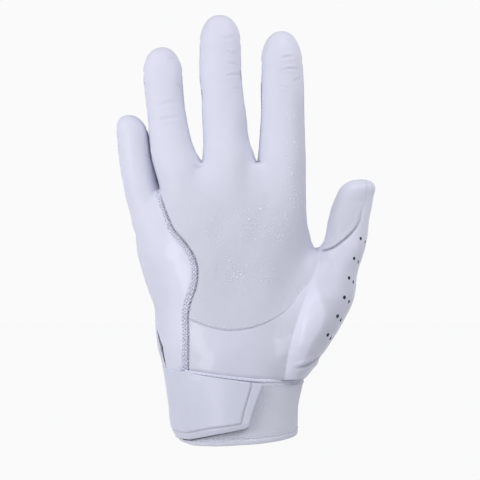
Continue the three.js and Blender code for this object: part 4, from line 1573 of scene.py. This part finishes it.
def discs(centres, axes, radius):
    """Flat round discs below the centres, square to their axes."""
    points, faces = [], []
    turn = np.linspace(0, 2 * math.pi, DISC_SIDES, endpoint=False)[:, None]
    for centre, axis in zip(centres, axes):
        u = np.cross(axis, [0, 0, 1])
        u /= np.linalg.norm(u)
        ring = (np.cos(turn) * u + np.sin(turn) * np.cross(axis, u)) * radius
        start = len(points) * (2 * DISC_SIDES + 2)
        top, bottom = centre - axis * DISC_DEPTH, centre - axis * (DISC_DEPTH + DISC_WALL)
        points.append(np.concatenate([top + ring, bottom + ring, [top, bottom]]))
        a = np.arange(DISC_SIDES) + start
        b, c, d = np.roll(a, -1), a + DISC_SIDES, np.roll(a, -1) + DISC_SIDES
        t = np.full(DISC_SIDES, start + 2 * DISC_SIDES)
        faces += [np.stack(corners, axis=1) for corners in ((t, a, b), (t + 1, d, c), (a, c, d), (a, d, b))]
    points, faces = np.concatenate(points), np.concatenate(faces)
    if np.sum(face_normals(points, faces)[:DISC_SIDES] @ axes[0]) < 0:
        faces = faces[:, ::-1]
    return points, faces


lifted = hole_centres + hole_axes * (hand_relief(hole_centres))[:, None]
on_thumb = hole_centres[:, 2] > PLANES["thumb"]
for name, chosen in (("hole_shade_discs", ~on_thumb), ("thumb_hole_lining", on_thumb)):
    shell = discs(lifted[chosen], hole_axes[chosen], HOLE_RADIUS + 0.05)
    piece = new_piece(name, *shell, finish="lining")
    piece.data.shade_flat()
    if name == "hole_shade_discs":
        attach(piece, "hand")
    else:
        start, end = ((THUMB_DISCS_X, THUMB_DISCS_Y, z * MM) for z in BLENDS["thumb"][0])
        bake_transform(piece)

points, faces, _, normals = skins["hand"]
at = middles(points, faces)
low_edge = (at[:, 2] < VENT_HIGH + 3) & (cuff_line(at) > 0.3) & (at[:, 0] < 0)
behind_vent = (np.abs(side_seam(at)) < 4) & low_edge
points, faces, used = dropped(points, faces, ~behind_vent)
normals = normals[used]
shell = walled(points - normals * (WALL + VENT_SHADE_GAP), faces, normals, VENT_SHADE_WALL)
piece = new_piece("vent_shade_strip", *shell, finish="lining")
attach(piece, "hand")
print("linings made")

# %% [markdown]
# What repeats is made by Geometry Nodes. The grip print is a staggered lattice of small raised
# rubber dots, and the seams are rows of stitches. A few helpers keep the node trees short.

# %% Tree helpers
DOTS = {"Pitch": 0.0021, "Radius": 0.0006, "Height": 0.00033, "Least": 0.22, "Seed": 7}
DOT_STRAY = 0.0009
DOT_UNEVEN = 0.35, 1.2
ROW_SHARE = 0.866
LATTICE_SIZE = 0.15, 0.23
LATTICE_AT = 0.004, -0.1, 0.11
RAY_LENGTH = 0.2


def add(tree, kind, *inputs, **settings):
    """A node with its inputs linked or set, in order, or by name from one dictionary.

    None leaves an input as it is.
    """
    node = tree.nodes.new(kind)
    for key, value in settings.items():
        setattr(node, key, value)
    sockets = node.inputs
    if inputs and isinstance(inputs[0], dict):
        named = inputs[0]
        sockets = [next(s for s in node.inputs if s.name == name and s.enabled) for name in named]
        inputs = named.values()
    for socket, value in zip(sockets, inputs):
        if isinstance(value, bpy.types.NodeSocket):
            tree.links.new(value, socket)
        elif value is not None:
            socket.default_value = value
    return node


def first(tree, kind, *inputs, **settings):
    """The first output of a new node."""
    return add(tree, kind, *inputs, **settings).outputs[0]


def maths(tree, operation, *inputs):
    """The result of a Math node."""
    return first(tree, "ShaderNodeMath", *inputs, operation=operation)


def geometry_tree(title, numbers):
    """A new tree with geometry in and out, numbers and a finish to set."""
    tree = bpy.data.node_groups.new(title, "GeometryNodeTree")
    tree.interface.new_socket("Geometry", in_out="INPUT", socket_type="NodeSocketGeometry")
    for key, value in numbers.items():
        kind = "NodeSocketInt" if isinstance(value, int) else "NodeSocketFloat"
        tree.interface.new_socket(key, in_out="INPUT", socket_type=kind).default_value = value
    tree.interface.new_socket("Finish", in_out="INPUT", socket_type="NodeSocketMaterial")
    tree.interface.new_socket("Geometry", in_out="OUTPUT", socket_type="NodeSocketGeometry")
    return tree, tree.nodes.new("NodeGroupInput").outputs, tree.nodes.new("NodeGroupOutput").inputs[0]


def drawn(tree, kind, low, high, seed):
    """A number or vector drawn by lot for each point, the same on every run."""
    node = add(tree, "FunctionNodeRandomValue", {"Min": low, "Max": high, "Seed": seed}, data_type=kind)
    return next(s for s in node.outputs if s.enabled)


def instanced(tree, inside, outside, points, thing, rotation, scale):
    """The end of a tree: a copy of the thing on each point, made real and given its finish."""
    copies = first(tree, "GeometryNodeInstanceOnPoints", {
        "Points": points, "Instance": thing, "Rotation": rotation, "Scale": scale,
    })
    real = first(tree, "GeometryNodeRealizeInstances", {"Geometry": copies})
    finish = {"Geometry": real, "Material": inside["Finish"]}
    tree.links.new(first(tree, "GeometryNodeSetMaterial", finish), outside)


print("dots", DOTS)

# %% [markdown]
# The tree holds the lattice in front of the glove, throws each of its points onto the printed panel
# with a ray, and puts a flattened ball where it lands. An attribute of the panel, painted below
# from its distance to the panel's edges and from slow waves, says how big each dot is.

# %% Dot tree
DOT_TREE, inside, outside = geometry_tree("raised_dots", DOTS)
tree, pitch = DOT_TREE, inside["Pitch"]
row_pitch = maths(tree, "MULTIPLY", pitch, ROW_SHARE)
columns, rows = (
    maths(tree, "FLOOR", maths(tree, "DIVIDE", size, step))
    for size, step in zip(LATTICE_SIZE, (pitch, row_pitch))
)
lattice = first(tree, "GeometryNodeMeshGrid", {
    "Size X": maths(tree, "MULTIPLY", maths(tree, "SUBTRACT", columns, 1.0), pitch),
    "Size Y": maths(tree, "MULTIPLY", maths(tree, "SUBTRACT", rows, 1.0), row_pitch),
    "Vertices X": columns, "Vertices Y": rows,
})
place = first(tree, "GeometryNodeInputPosition")
x, y, _ = add(tree, "ShaderNodeSeparateXYZ", {"Vector": place}).outputs
row = maths(tree, "ROUND", maths(tree, "DIVIDE", y, row_pitch))
half_pitch = maths(tree, "MULTIPLY", pitch, 0.5)
shift = maths(tree, "MULTIPLY", maths(tree, "FLOORED_MODULO", row, 2.0), half_pitch)
start = first(tree, "ShaderNodeCombineXYZ", {
    "X": maths(tree, "ADD", maths(tree, "ADD", x, shift), LATTICE_AT[0]),
    "Y": LATTICE_AT[1],
    "Z": maths(tree, "ADD", y, LATTICE_AT[2]),
})
reach = np.array([DOT_STRAY, 0.0, DOT_STRAY])
stray = drawn(tree, "FLOAT_VECTOR", tuple(-reach), tuple(reach), inside["Seed"])
hung = first(tree, "GeometryNodeSetPosition", {"Geometry": lattice, "Position": start, "Offset": stray})
ray = add(tree, "GeometryNodeRaycast", {
    "Target Geometry": inside["Geometry"],
    "Attribute": first(tree, "GeometryNodeInputNamedAttribute", {"Name": "dot_size"}, data_type="FLOAT"),
    "Ray Direction": (0.0, 1.0, 0.0),
    "Ray Length": RAY_LENGTH,
}, data_type="FLOAT")
size_hit = next(s for s in ray.outputs if s.name == "Attribute" and s.enabled)
grown = maths(tree, "MULTIPLY", size_hit, drawn(tree, "FLOAT", *DOT_UNEVEN, inside["Seed"]))
kept = add(tree, "GeometryNodeCaptureAttribute", {"Geometry": hung})
kept.capture_items.new("FLOAT", "Grown")
kept.capture_items.new("VECTOR", "Outward")
tree.links.new(grown, kept.inputs["Grown"])
tree.links.new(ray.outputs["Hit Normal"], kept.inputs["Outward"])
points = first(tree, "GeometryNodeMeshToPoints", {
    "Mesh": kept.outputs["Geometry"],
    "Selection": maths(tree, "GREATER_THAN", grown, inside["Least"]),
    "Position": ray.outputs["Hit Position"],
})
outward = {"Vector": kept.outputs["Outward"]}
radius = maths(tree, "MULTIPLY", kept.outputs["Grown"], inside["Radius"])
flat = maths(tree, "MULTIPLY", kept.outputs["Grown"], inside["Height"])
instanced(
    tree, inside, outside, points,
    thing=first(tree, "GeometryNodeMeshIcoSphere", {"Radius": 1.0, "Subdivisions": 1}),
    rotation=first(tree, "FunctionNodeAlignRotationToVector", outward, axis="Z"),
    scale=first(tree, "ShaderNodeCombineXYZ", {"X": radius, "Y": radius, "Z": flat}),
)
print("dot tree", len(tree.nodes), "nodes")

# %% [markdown]
# The tree runs once for each printed panel, so that each panel has dots of its own. Its result is
# turned into a plain mesh, and the modifier goes with the copy that carried it.

# %% Raised dots
DOT_AREAS_PX = [  # middle, spread in pixels, size
    ((293, 158), (12, 74), 1.0), ((264, 222), (38, 28), 1.0), ((240, 272), (46, 28), 0.8),
    ((212, 225), (30, 38), 0.65),
]


def dot_size(points):
    """Size of the dots, from 0 to 1: generous at the index finger and palm, fading out elsewhere."""
    pixels = to_pixel(points)
    area = np.zeros(len(points))
    for middle, spread, size in DOT_AREAS_PX:
        area = np.maximum(area, size * blot(pixels, middle, spread))
    px, py = pixels.T
    uneven = 0.5 + 0.5 * np.sin(px * 0.19 + 2 * np.sin(py * 0.07)) * np.sin(py * 0.16 + 1)
    clear = ease(grip_edge(points), 1.5, 5) * ease(gusset_right(points), 3, 8) * ease(-points[:, 1], 9, 11)
    return np.clip(area * 1.25, 0, 1) * (0.45 + 0.55 * uneven) * clear


def run_tree(name, source, tree, values, finish):
    """The tree's result on a mesh, as a plain mesh of its own."""
    carrier = in_scene("carrier", source)
    modifier = carrier.modifiers.new("tree", "NODES")
    modifier.node_group = tree
    for item in tree.interface.items_tree:
        if item.in_out == "INPUT" and item.name in values:
            modifier[item.identifier] = values[item.name]
    carrier.update_tag()
    evaluated = carrier.evaluated_get(bpy.context.evaluated_depsgraph_get())
    mesh = bpy.data.meshes.new_from_object(evaluated)
    bpy.data.objects.remove(carrier)
    mesh.name = name
    mesh.shade_smooth()
    return as_piece(name, mesh, finish)


def with_dots(panel_name, name):
    """The raised dots of one printed panel."""
    mesh = pieces[panel_name].data.copy()
    points = np.empty(len(mesh.vertices) * 3, np.float32)
    mesh.vertices.foreach_get("co", points)
    give_values(mesh, "dot_size", dot_size(points.reshape(-1, 3).astype(float) / MM))
    piece = run_tree(name, mesh, DOT_TREE, DOTS, "dots")
    print(name, len(piece.data.polygons), "faces")
    return piece


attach(with_dots("grip_palm", "palm_dots"), "hand")
for name in ("index", "middle"):
    for end, bodies, bend in digit_parts(name):
        piece = with_dots(f"{name}_{end}_front", f"{name}_{end}_dots")
        if piece.data.polygons:
            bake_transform(piece)
        else:
            bpy.data.objects.remove(pieces.pop(piece.name))

# %% [markdown]
# Stitches are short rounded threads set end to end along the seams. Each seam's line is a thin wire
# that carries the direction out of the cloth; the tree walks along it in even steps and lays one
# thread on each step, in line with the wire and half sunk into the cloth.

# %% Stitches
STITCHES = {"Step": 0.0026, "Length": 0.0009, "Thickness": 0.00021}
STITCH_SINK = 0.06
STITCH_TREE, inside, outside = geometry_tree("stitches", STITCHES)
tree = STITCH_TREE
wire = first(tree, "GeometryNodeMeshToCurve", {"Mesh": inside["Geometry"]})
even = {"Curve": wire, "Length": inside["Step"]}
away = first(tree, "GeometryNodeInputNamedAttribute", {"Name": "away"}, data_type="FLOAT_VECTOR")
tangent = first(tree, "GeometryNodeInputTangent")
along = first(tree, "FunctionNodeAlignRotationToVector", {"Vector": tangent}, axis="X")
turned = {"Rotation": along, "Vector": away}
length, thickness = inside["Length"], inside["Thickness"]
instanced(
    tree, inside, outside, first(tree, "GeometryNodeResampleCurve", even, mode="LENGTH"),
    thing=first(tree, "GeometryNodeMeshIcoSphere", {"Radius": 1.0, "Subdivisions": 2}),
    rotation=first(tree, "FunctionNodeAlignRotationToVector", turned, axis="Z", pivot_axis="X"),
    scale=first(tree, "ShaderNodeCombineXYZ", {"X": length, "Y": thickness, "Z": thickness}),
)


def stitched(name, lines):
    """Stitches along lines of (points, directions out of the cloth), in millimetres."""
    points, away, edges = [], [], []
    for line, out in lines:
        start = sum(len(part) for part in points)
        points.append(line)
        away.append(out)
        edges += [(start + i, start + i + 1) for i in range(len(line) - 1)]
    mesh = bpy.data.meshes.new(name)
    mesh.from_pydata(np.concatenate(points) * MM, edges, [])
    give_values(mesh, "away", np.concatenate(away))
    return run_tree(name, mesh, STITCH_TREE, STITCHES, "thread")


def on_hand_line(line_px, beside):
    """A line of the photograph on the hand's cloth, moved sideways by some pixels."""
    along = np.gradient(line_px, axis=0)
    along /= np.linalg.norm(along, axis=1)[:, None]
    line_px = line_px + np.stack([along[:, 1], -along[:, 0]], axis=1) * beside
    spots = touch(line_px[:, 0], line_px[:, 1])
    out = hand_field(spots)[1]
    return spots + out * (hand_relief(spots) + STITCH_SINK)[:, None], out


def round_cuff(height, lift):
    """A line all round the cuff."""
    return cuff_point(around, height, np.full(len(around), lift))


inner = (GUSSET_RIGHT_PX[:, 1] > 196) & (GUSSET_RIGHT_PX[:, 1] < 369)
outer = (GUSSET_LEFT_PX[:, 1] > 200) & (GUSSET_LEFT_PX[:, 1] < 369)
bow_x, bow_y = GRIP_EDGE_PX.T
bow_line = (bow_x > 192) & (bow_x < 312) & (bow_y > 282)
seams = stitched("seam_stitches", [
    on_hand_line(GUSSET_RIGHT_PX[inner], -2.4), on_hand_line(GUSSET_LEFT_PX[outer], 2.2),
    on_hand_line(GRIP_EDGE_PX[bow_line], 2.4),
])
hems = stitched("cuff_stitches", [
    round_cuff(hem_line - PIPING - 1.3, 0.02), round_cuff(rim_line + HEM + 0.9, 0.02),
    round_cuff(hem_line - PIPING / 2, 0.12),
])
for piece in (seams, hems):
    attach(piece, "hand")
    print(piece.name, len(piece.data.polygons), "faces")

# %% [markdown]
# Materials. All the fabrics are nearly the same cool white. What tells them apart is how they shine
# and the fine relief of each: smooth coated palm, matt stretch back, diagonal mesh, and so on. Each
# pattern is a node group that turns a place on the glove into a height, used by every fabric that
# has such a texture at its own scale.

# %% Colour and node helpers
def srgb(red, green, blue):
    """A colour as it is read off a photograph, made linear."""
    values = np.array([red, green, blue]) / 255
    linear = np.where(values <= 0.04045, values / 12.92, ((values + 0.055) / 1.055) ** 2.4)
    return (*linear.tolist(), 1.0)


SOCKET_KINDS = {"Place": "NodeSocketVector", "Colour": "NodeSocketColor"}


def new_group(name, inputs, outputs):
    """A shader node group with named sockets, its inputs and its outputs."""
    group = bpy.data.node_groups.new(name, "ShaderNodeTree")
    for titles, way in ((inputs, "INPUT"), (outputs, "OUTPUT")):
        for title in titles:
            kind = SOCKET_KINDS.get(title, "NodeSocketFloat")
            socket = group.interface.new_socket(title, in_out=way, socket_type=kind)
            if way == "INPUT" and kind == "NodeSocketFloat":
                socket.default_value = inputs[title]
    return group, group.nodes.new("NodeGroupInput").outputs, group.nodes.new("NodeGroupOutput").inputs


def noise(group, place, *numbers):
    """A noise with its scale, detail and roughness, at each place."""
    return first(group, "ShaderNodeTexNoise", place, None, *numbers)


def waves(group, place, direction, pitch):
    """A sine along a direction, with the given pitch in metres."""
    along = add(group, "ShaderNodeVectorMath", place, direction, operation="DOT_PRODUCT")
    turns = maths(group, "DIVIDE", along.outputs["Value"], pitch)
    return maths(group, "SINE", maths(group, "MULTIPLY", turns, 2 * math.pi))


print("helpers ready")

# %% [markdown]
# Three patterns. Mesh knit: two families of threads cross on the slant, with small openings between
# them. Pebble: the faint uneven grain of a coated synthetic. Dot print: three waves at sixty
# degrees add up to peaks on an even lattice, and keeping only the peaks leaves small round dots.
# A fourth group tones every fabric: a little by its pattern, a little in wide patches, and by the
# seam number of its panel, which holds painted shade, painted highlights and the print's tone.

# %% Pattern groups
KNIT_ONE, KNIT_TWO = (0.92, 0.39, 0.0), (0.0, 0.39, 0.92)
PATCH_TONE, PATCH_ROUGHNESS, SHADE_LIGHT_PRINT_TONE = 0.035, 0.12, 0.62

knit_inputs = {"Place": None, "Pitch": 0.0012}
mesh_knit, inside, outside = new_group("mesh_knit", knit_inputs, ("Height", "Opening"))
one, two = (waves(mesh_knit, inside["Place"], way, inside["Pitch"]) for way in (KNIT_ONE, KNIT_TWO))
crossed = maths(mesh_knit, "MULTIPLY", one, two)
fibre = noise(mesh_knit, inside["Place"], 4200.0, 2.0, 0.6)
bump = maths(mesh_knit, "MULTIPLY_ADD", crossed, 0.38, 0.5)
mesh_knit.links.new(maths(mesh_knit, "MULTIPLY_ADD", fibre, 0.25, bump), outside["Height"])
gaps = maths(mesh_knit, "MULTIPLY", crossed, -1.0)
mesh_knit.links.new(first(mesh_knit, "ShaderNodeMapRange", gaps, 0.35, 0.85, 0.0, 1.0), outside["Opening"])

pebble_inputs = {"Place": None, "Grain": 1500.0, "Mottle": 90.0}
pebble, inside, outside = new_group("pebble", pebble_inputs, ("Height", "Mottle"))
grain = noise(pebble, inside["Place"], inside["Grain"], 3.0, 0.55)
mottle = noise(pebble, inside["Place"], inside["Mottle"], 3.0, 0.5)
pebble.links.new(maths(pebble, "MULTIPLY_ADD", mottle, 0.8, grain), outside["Height"])
pebble.links.new(mottle, outside["Mottle"])

dot_print, inside, outside = new_group("dot_print", {"Place": None, "Pitch": 0.0016}, ("Dots",))
total = None
for turn in (0, math.pi / 3, 2 * math.pi / 3):
    wave = waves(dot_print, inside["Place"], (math.cos(turn), 0.0, math.sin(turn)), inside["Pitch"])
    total = wave if total is None else maths(dot_print, "ADD", total, wave)
dot_print.links.new(first(dot_print, "ShaderNodeMapRange", total, 1.5, 2.3, 0.0, 1.0), outside["Dots"])

tone_inputs = {"Place": None, "Colour": None, "Dark": 0.5, "Contrast": 0.06, "Seam": 0.0, "Roughness": 0.5}
cloth_tone, inside, outside = new_group("cloth_tone", tone_inputs, ("Colour", "Roughness"))
patches = noise(cloth_tone, inside["Place"], 38.0, 2.0, 0.5)
patches = maths(cloth_tone, "SUBTRACT", patches, 0.5)
dark = maths(cloth_tone, "SUBTRACT", inside["Dark"], 0.5)
shade = maths(cloth_tone, "MULTIPLY", dark, inside["Contrast"])
shade = maths(cloth_tone, "MULTIPLY_ADD", patches, PATCH_TONE, shade)
# The panel's painted shade and painted highlights darken or lighten the colour.
shade = maths(cloth_tone, "MULTIPLY_ADD", inside["Seam"], SHADE_LIGHT_PRINT_TONE, shade)
tinted = {"Vector": inside["Colour"], "Scale": maths(cloth_tone, "SUBTRACT", 1.0, shade)}
tinted = first(cloth_tone, "ShaderNodeVectorMath", tinted, operation="SCALE")
cloth_tone.links.new(tinted, outside["Colour"])
rough = maths(cloth_tone, "MULTIPLY_ADD", patches, PATCH_ROUGHNESS, inside["Roughness"])
cloth_tone.links.new(rough, outside["Roughness"])
print("groups", [group.name for group in bpy.data.node_groups])

# %% [markdown]
# One function builds a fabric from its colour, its shine and a pattern. Colour and roughness vary a
# little with the pattern and the seam number, whose painted shade and highlights darken or lighten
# the colour, and the pattern's height feeds a Bump node. Shine that is the same all over, such as the
# coat, is set on the shader itself.

# %% Fabrics
def grouped(tree, group, values):
    """A node group placed in a material, with its inputs linked or set by name."""
    node = tree.nodes.new("ShaderNodeGroup")
    node.node_tree = group
    for key, value in values.items():
        if isinstance(value, bpy.types.NodeSocket):
            tree.links.new(value, node.inputs[key])
        else:
            node.inputs[key].default_value = value
    return node.outputs


def new_material(name):
    """A material, its tree and its shader."""
    material = bpy.data.materials.new(name)
    material.use_nodes = True
    return material, material.node_tree, material.node_tree.nodes["Principled BSDF"]


def fabric(
    name, colour, roughness, pattern, values, depth, height="Height", dark="Height", contrast=0.06, **shine
):
    """pattern is a node group, height its output for the bump, and dark its output that darkens."""
    materials[name], tree, shader = new_material(name)
    place = tree.nodes.new("ShaderNodeTexCoord").outputs["Object"]
    pattern = grouped(tree, pattern, {"Place": place, **values})
    # The seam attribute: painted shade, painted highlights and the print's tone.
    seam = add(tree, "ShaderNodeAttribute", attribute_name="seam").outputs["Fac"]
    tone = grouped(tree, cloth_tone, {
        "Place": place, "Colour": srgb(*colour), "Dark": pattern[dark], "Contrast": contrast,
        "Seam": seam, "Roughness": roughness,
    })
    bump = {"Strength": 1.0, "Distance": depth, "Height": pattern[height]}
    tree.links.new(tone["Colour"], shader.inputs["Base Color"])
    tree.links.new(tone["Roughness"], shader.inputs["Roughness"])
    tree.links.new(first(tree, "ShaderNodeBump", bump), shader.inputs["Normal"])
    for key, value in shine.items():
        shader.inputs[key.replace("_", " ")].default_value = value


print("finishes", sorted({piece["finish"] for piece in pieces.values()}))

# %% [markdown]
# Two fabrics are coated, five are knit or woven, and three are moulded, piled or rubber. Then each
# piece gets its fabric.

# %% All fabrics
fabric(
    "smooth", (209, 210, 227), 0.48, pebble, {"Grain": 1500.0, "Mottle": 70.0}, 0.00003,
    dark="Mottle", contrast=0.04, Coat_Weight=0.3, Coat_Roughness=0.06,
)
fabric(
    "grip", (208, 209, 225), 0.55, dot_print, {"Pitch": 0.00085}, 0.00004,
    height="Dots", dark="Dots", contrast=-0.03, Coat_Weight=0.06, Coat_Roughness=0.3,
)
for name, colour, roughness, pitch, depth, contrast, sheen in (
    ("knit", (187, 189, 206), 0.62, 0.0017, 0.0006, 0.65, {}),
    ("band", (208, 209, 223), 0.75, 0.0011, 0.00016, 0.11, {"Sheen_Weight": 0.25, "Sheen_Roughness": 0.5}),
    ("stretch", (203, 204, 220), 0.6, 0.0006, 0.0001, 0.12, {"Sheen_Weight": 0.2, "Sheen_Roughness": 0.5}),
    ("thread", (218, 219, 233), 0.5, 0.0003, 0.0001, 0.2, {}),
    # lining: the near black of the pieces that paint the shade in the holes, the vent and under the strap
    ("lining", (30, 31, 44), 0.8, 0.0008, 0.0001, 0.2, {}),
):
    shine = {"dark": "Opening", "contrast": contrast, **sheen}
    fabric(name, colour, roughness, mesh_knit, {"Pitch": pitch}, depth, **shine)
for name, colour, roughness, grain, mottle, depth, dark, contrast in (
    ("moulded", (201, 203, 220), 0.38, 900.0, 50.0, 0.00004, "Mottle", 0.06),
    ("pile", (196, 198, 212), 0.9, 2600.0, 700.0, 0.0006, "Height", 0.3),
    ("dots", (222, 223, 236), 0.34, 2600.0, 300.0, 0.00002, "Mottle", 0.06),
):
    grains = {"Grain": grain, "Mottle": mottle}
    fabric(name, colour, roughness, pebble, grains, depth, dark=dark, contrast=contrast)
for piece in pieces.values():
    piece.data.materials.clear()
    piece.data.materials.append(materials[piece["finish"]])
print("fabrics", list(materials))

# %% [markdown]
# The studio: an even pale light all round, a softbox on the left and one at the upper right, and a
# narrow upright strip in front on the left, whose mirror image is the sheen on the flank of the
# thumb's ball. The softboxes aren't seen in gloss, and the strip gives nothing but that sheen.

# %% Light and camera
def softbox(name, at, target, width, height, power):
    """A lamp at a place in millimetres, turned to its target, with its size in metres."""
    data = bpy.data.lights.new(name, "AREA")
    data.shape, data.size, data.size_y, data.energy = "RECTANGLE", width, height, power
    lamp = in_scene(name, data)
    lamp.location = at * MM
    lamp.rotation_euler = Vector((target - at) * MM).to_track_quat("-Z", "Z").to_euler()
    return lamp


def seen_by_eye(tree):
    """One for rays that show the background: the camera's own, and those off gloss or through glass."""
    path = tree.nodes.new("ShaderNodeLightPath").outputs
    either = maths(tree, "MAXIMUM", path["Is Camera Ray"], path["Is Glossy Ray"])
    return maths(tree, "MAXIMUM", either, path["Is Transmission Ray"])


def mixed(tree, share, one, other, end):
    """Two shaders mixed by a share, at the tree's end."""
    mix = add(tree, "ShaderNodeMixShader", share, one.outputs[0], other.outputs[0])
    tree.links.new(mix.outputs[0], end.inputs[0])


BACKGROUND = srgb(250, 250, 251)
WORLD_LIGHT = 0.38
WORLD_TINT = (0.96, 0.98, 1.0, 1.0)
LAMPS_AIM = np.array([3.0, 0.0, 165.0])
key = softbox("key_softbox", np.array([-330.0, -260.0, 200.0]), LAMPS_AIM, 0.3, 0.3, 1.2)
top = softbox("top_softbox", np.array([260.0, -240.0, 420.0]), LAMPS_AIM, 0.35, 0.35, 1.2)
key.visible_glossy = top.visible_glossy = False
sheen_at = touch(304, 326)
strip_at = sheen_at + np.array([-218.0, -467.0, -72.0])
strip = softbox("thumb_strip", strip_at, sheen_at, 0.1, 0.42, 0.6)
strip.visible_diffuse = False
print("strip light at", strip_at.round())

world = bpy.data.worlds.new("studio")
bpy.context.scene.world = world
world.use_nodes = True
tree = world.node_tree
shown = tree.nodes["Background"]
shown.inputs["Color"].default_value = BACKGROUND
lit = add(tree, "ShaderNodeBackground", WORLD_TINT, WORLD_LIGHT)
mixed(tree, seen_by_eye(tree), lit, shown, tree.nodes["World Output"])

camera_data = bpy.data.cameras.new("camera")
camera_data.sensor_width = SENSOR
camera_data.lens = FOCAL_PX / IMAGE * SENSOR
camera_data.clip_start, camera_data.clip_end = 0.01, 20
camera = in_scene("camera", camera_data)
camera.location = EYE * MM
camera.rotation_euler = (math.pi / 2, 0, 0)
bpy.context.scene.camera = camera
bpy.context.scene.view_settings.view_transform = "Standard"

# %% [markdown]
# The floor lies well below the glove, which the model's frame holds upright by its cuff. To the
# camera it shows the same pale tone as the studio, and it still takes the glove's soft shadow.

# %% Floor
FLOOR_Z, FLOOR_REACH = -150.0, 3000
FLOOR_GLOW = 0.93
corners = np.array([(-1, -1, 0), (1, -1, 0), (1, 1, 0), (-1, 1, 0)]) * FLOOR_REACH + [0, 0, FLOOR_Z]
floor = new_piece("studio_floor", corners, np.array([[0, 1, 2], [0, 2, 3]]))
del pieces["studio_floor"]
material, tree, shader = new_material("studio_floor")
shader.inputs["Base Color"].default_value = srgb(246, 246, 248)
shader.inputs["Roughness"].default_value = 0.9
glow = add(tree, "ShaderNodeEmission", srgb(254, 254, 255))
share = maths(tree, "MULTIPLY", seen_by_eye(tree), FLOOR_GLOW)
mixed(tree, share, shader, glow, tree.nodes["Material Output"])
floor.data.materials.append(material)
print("floor at", FLOOR_Z, "mm")
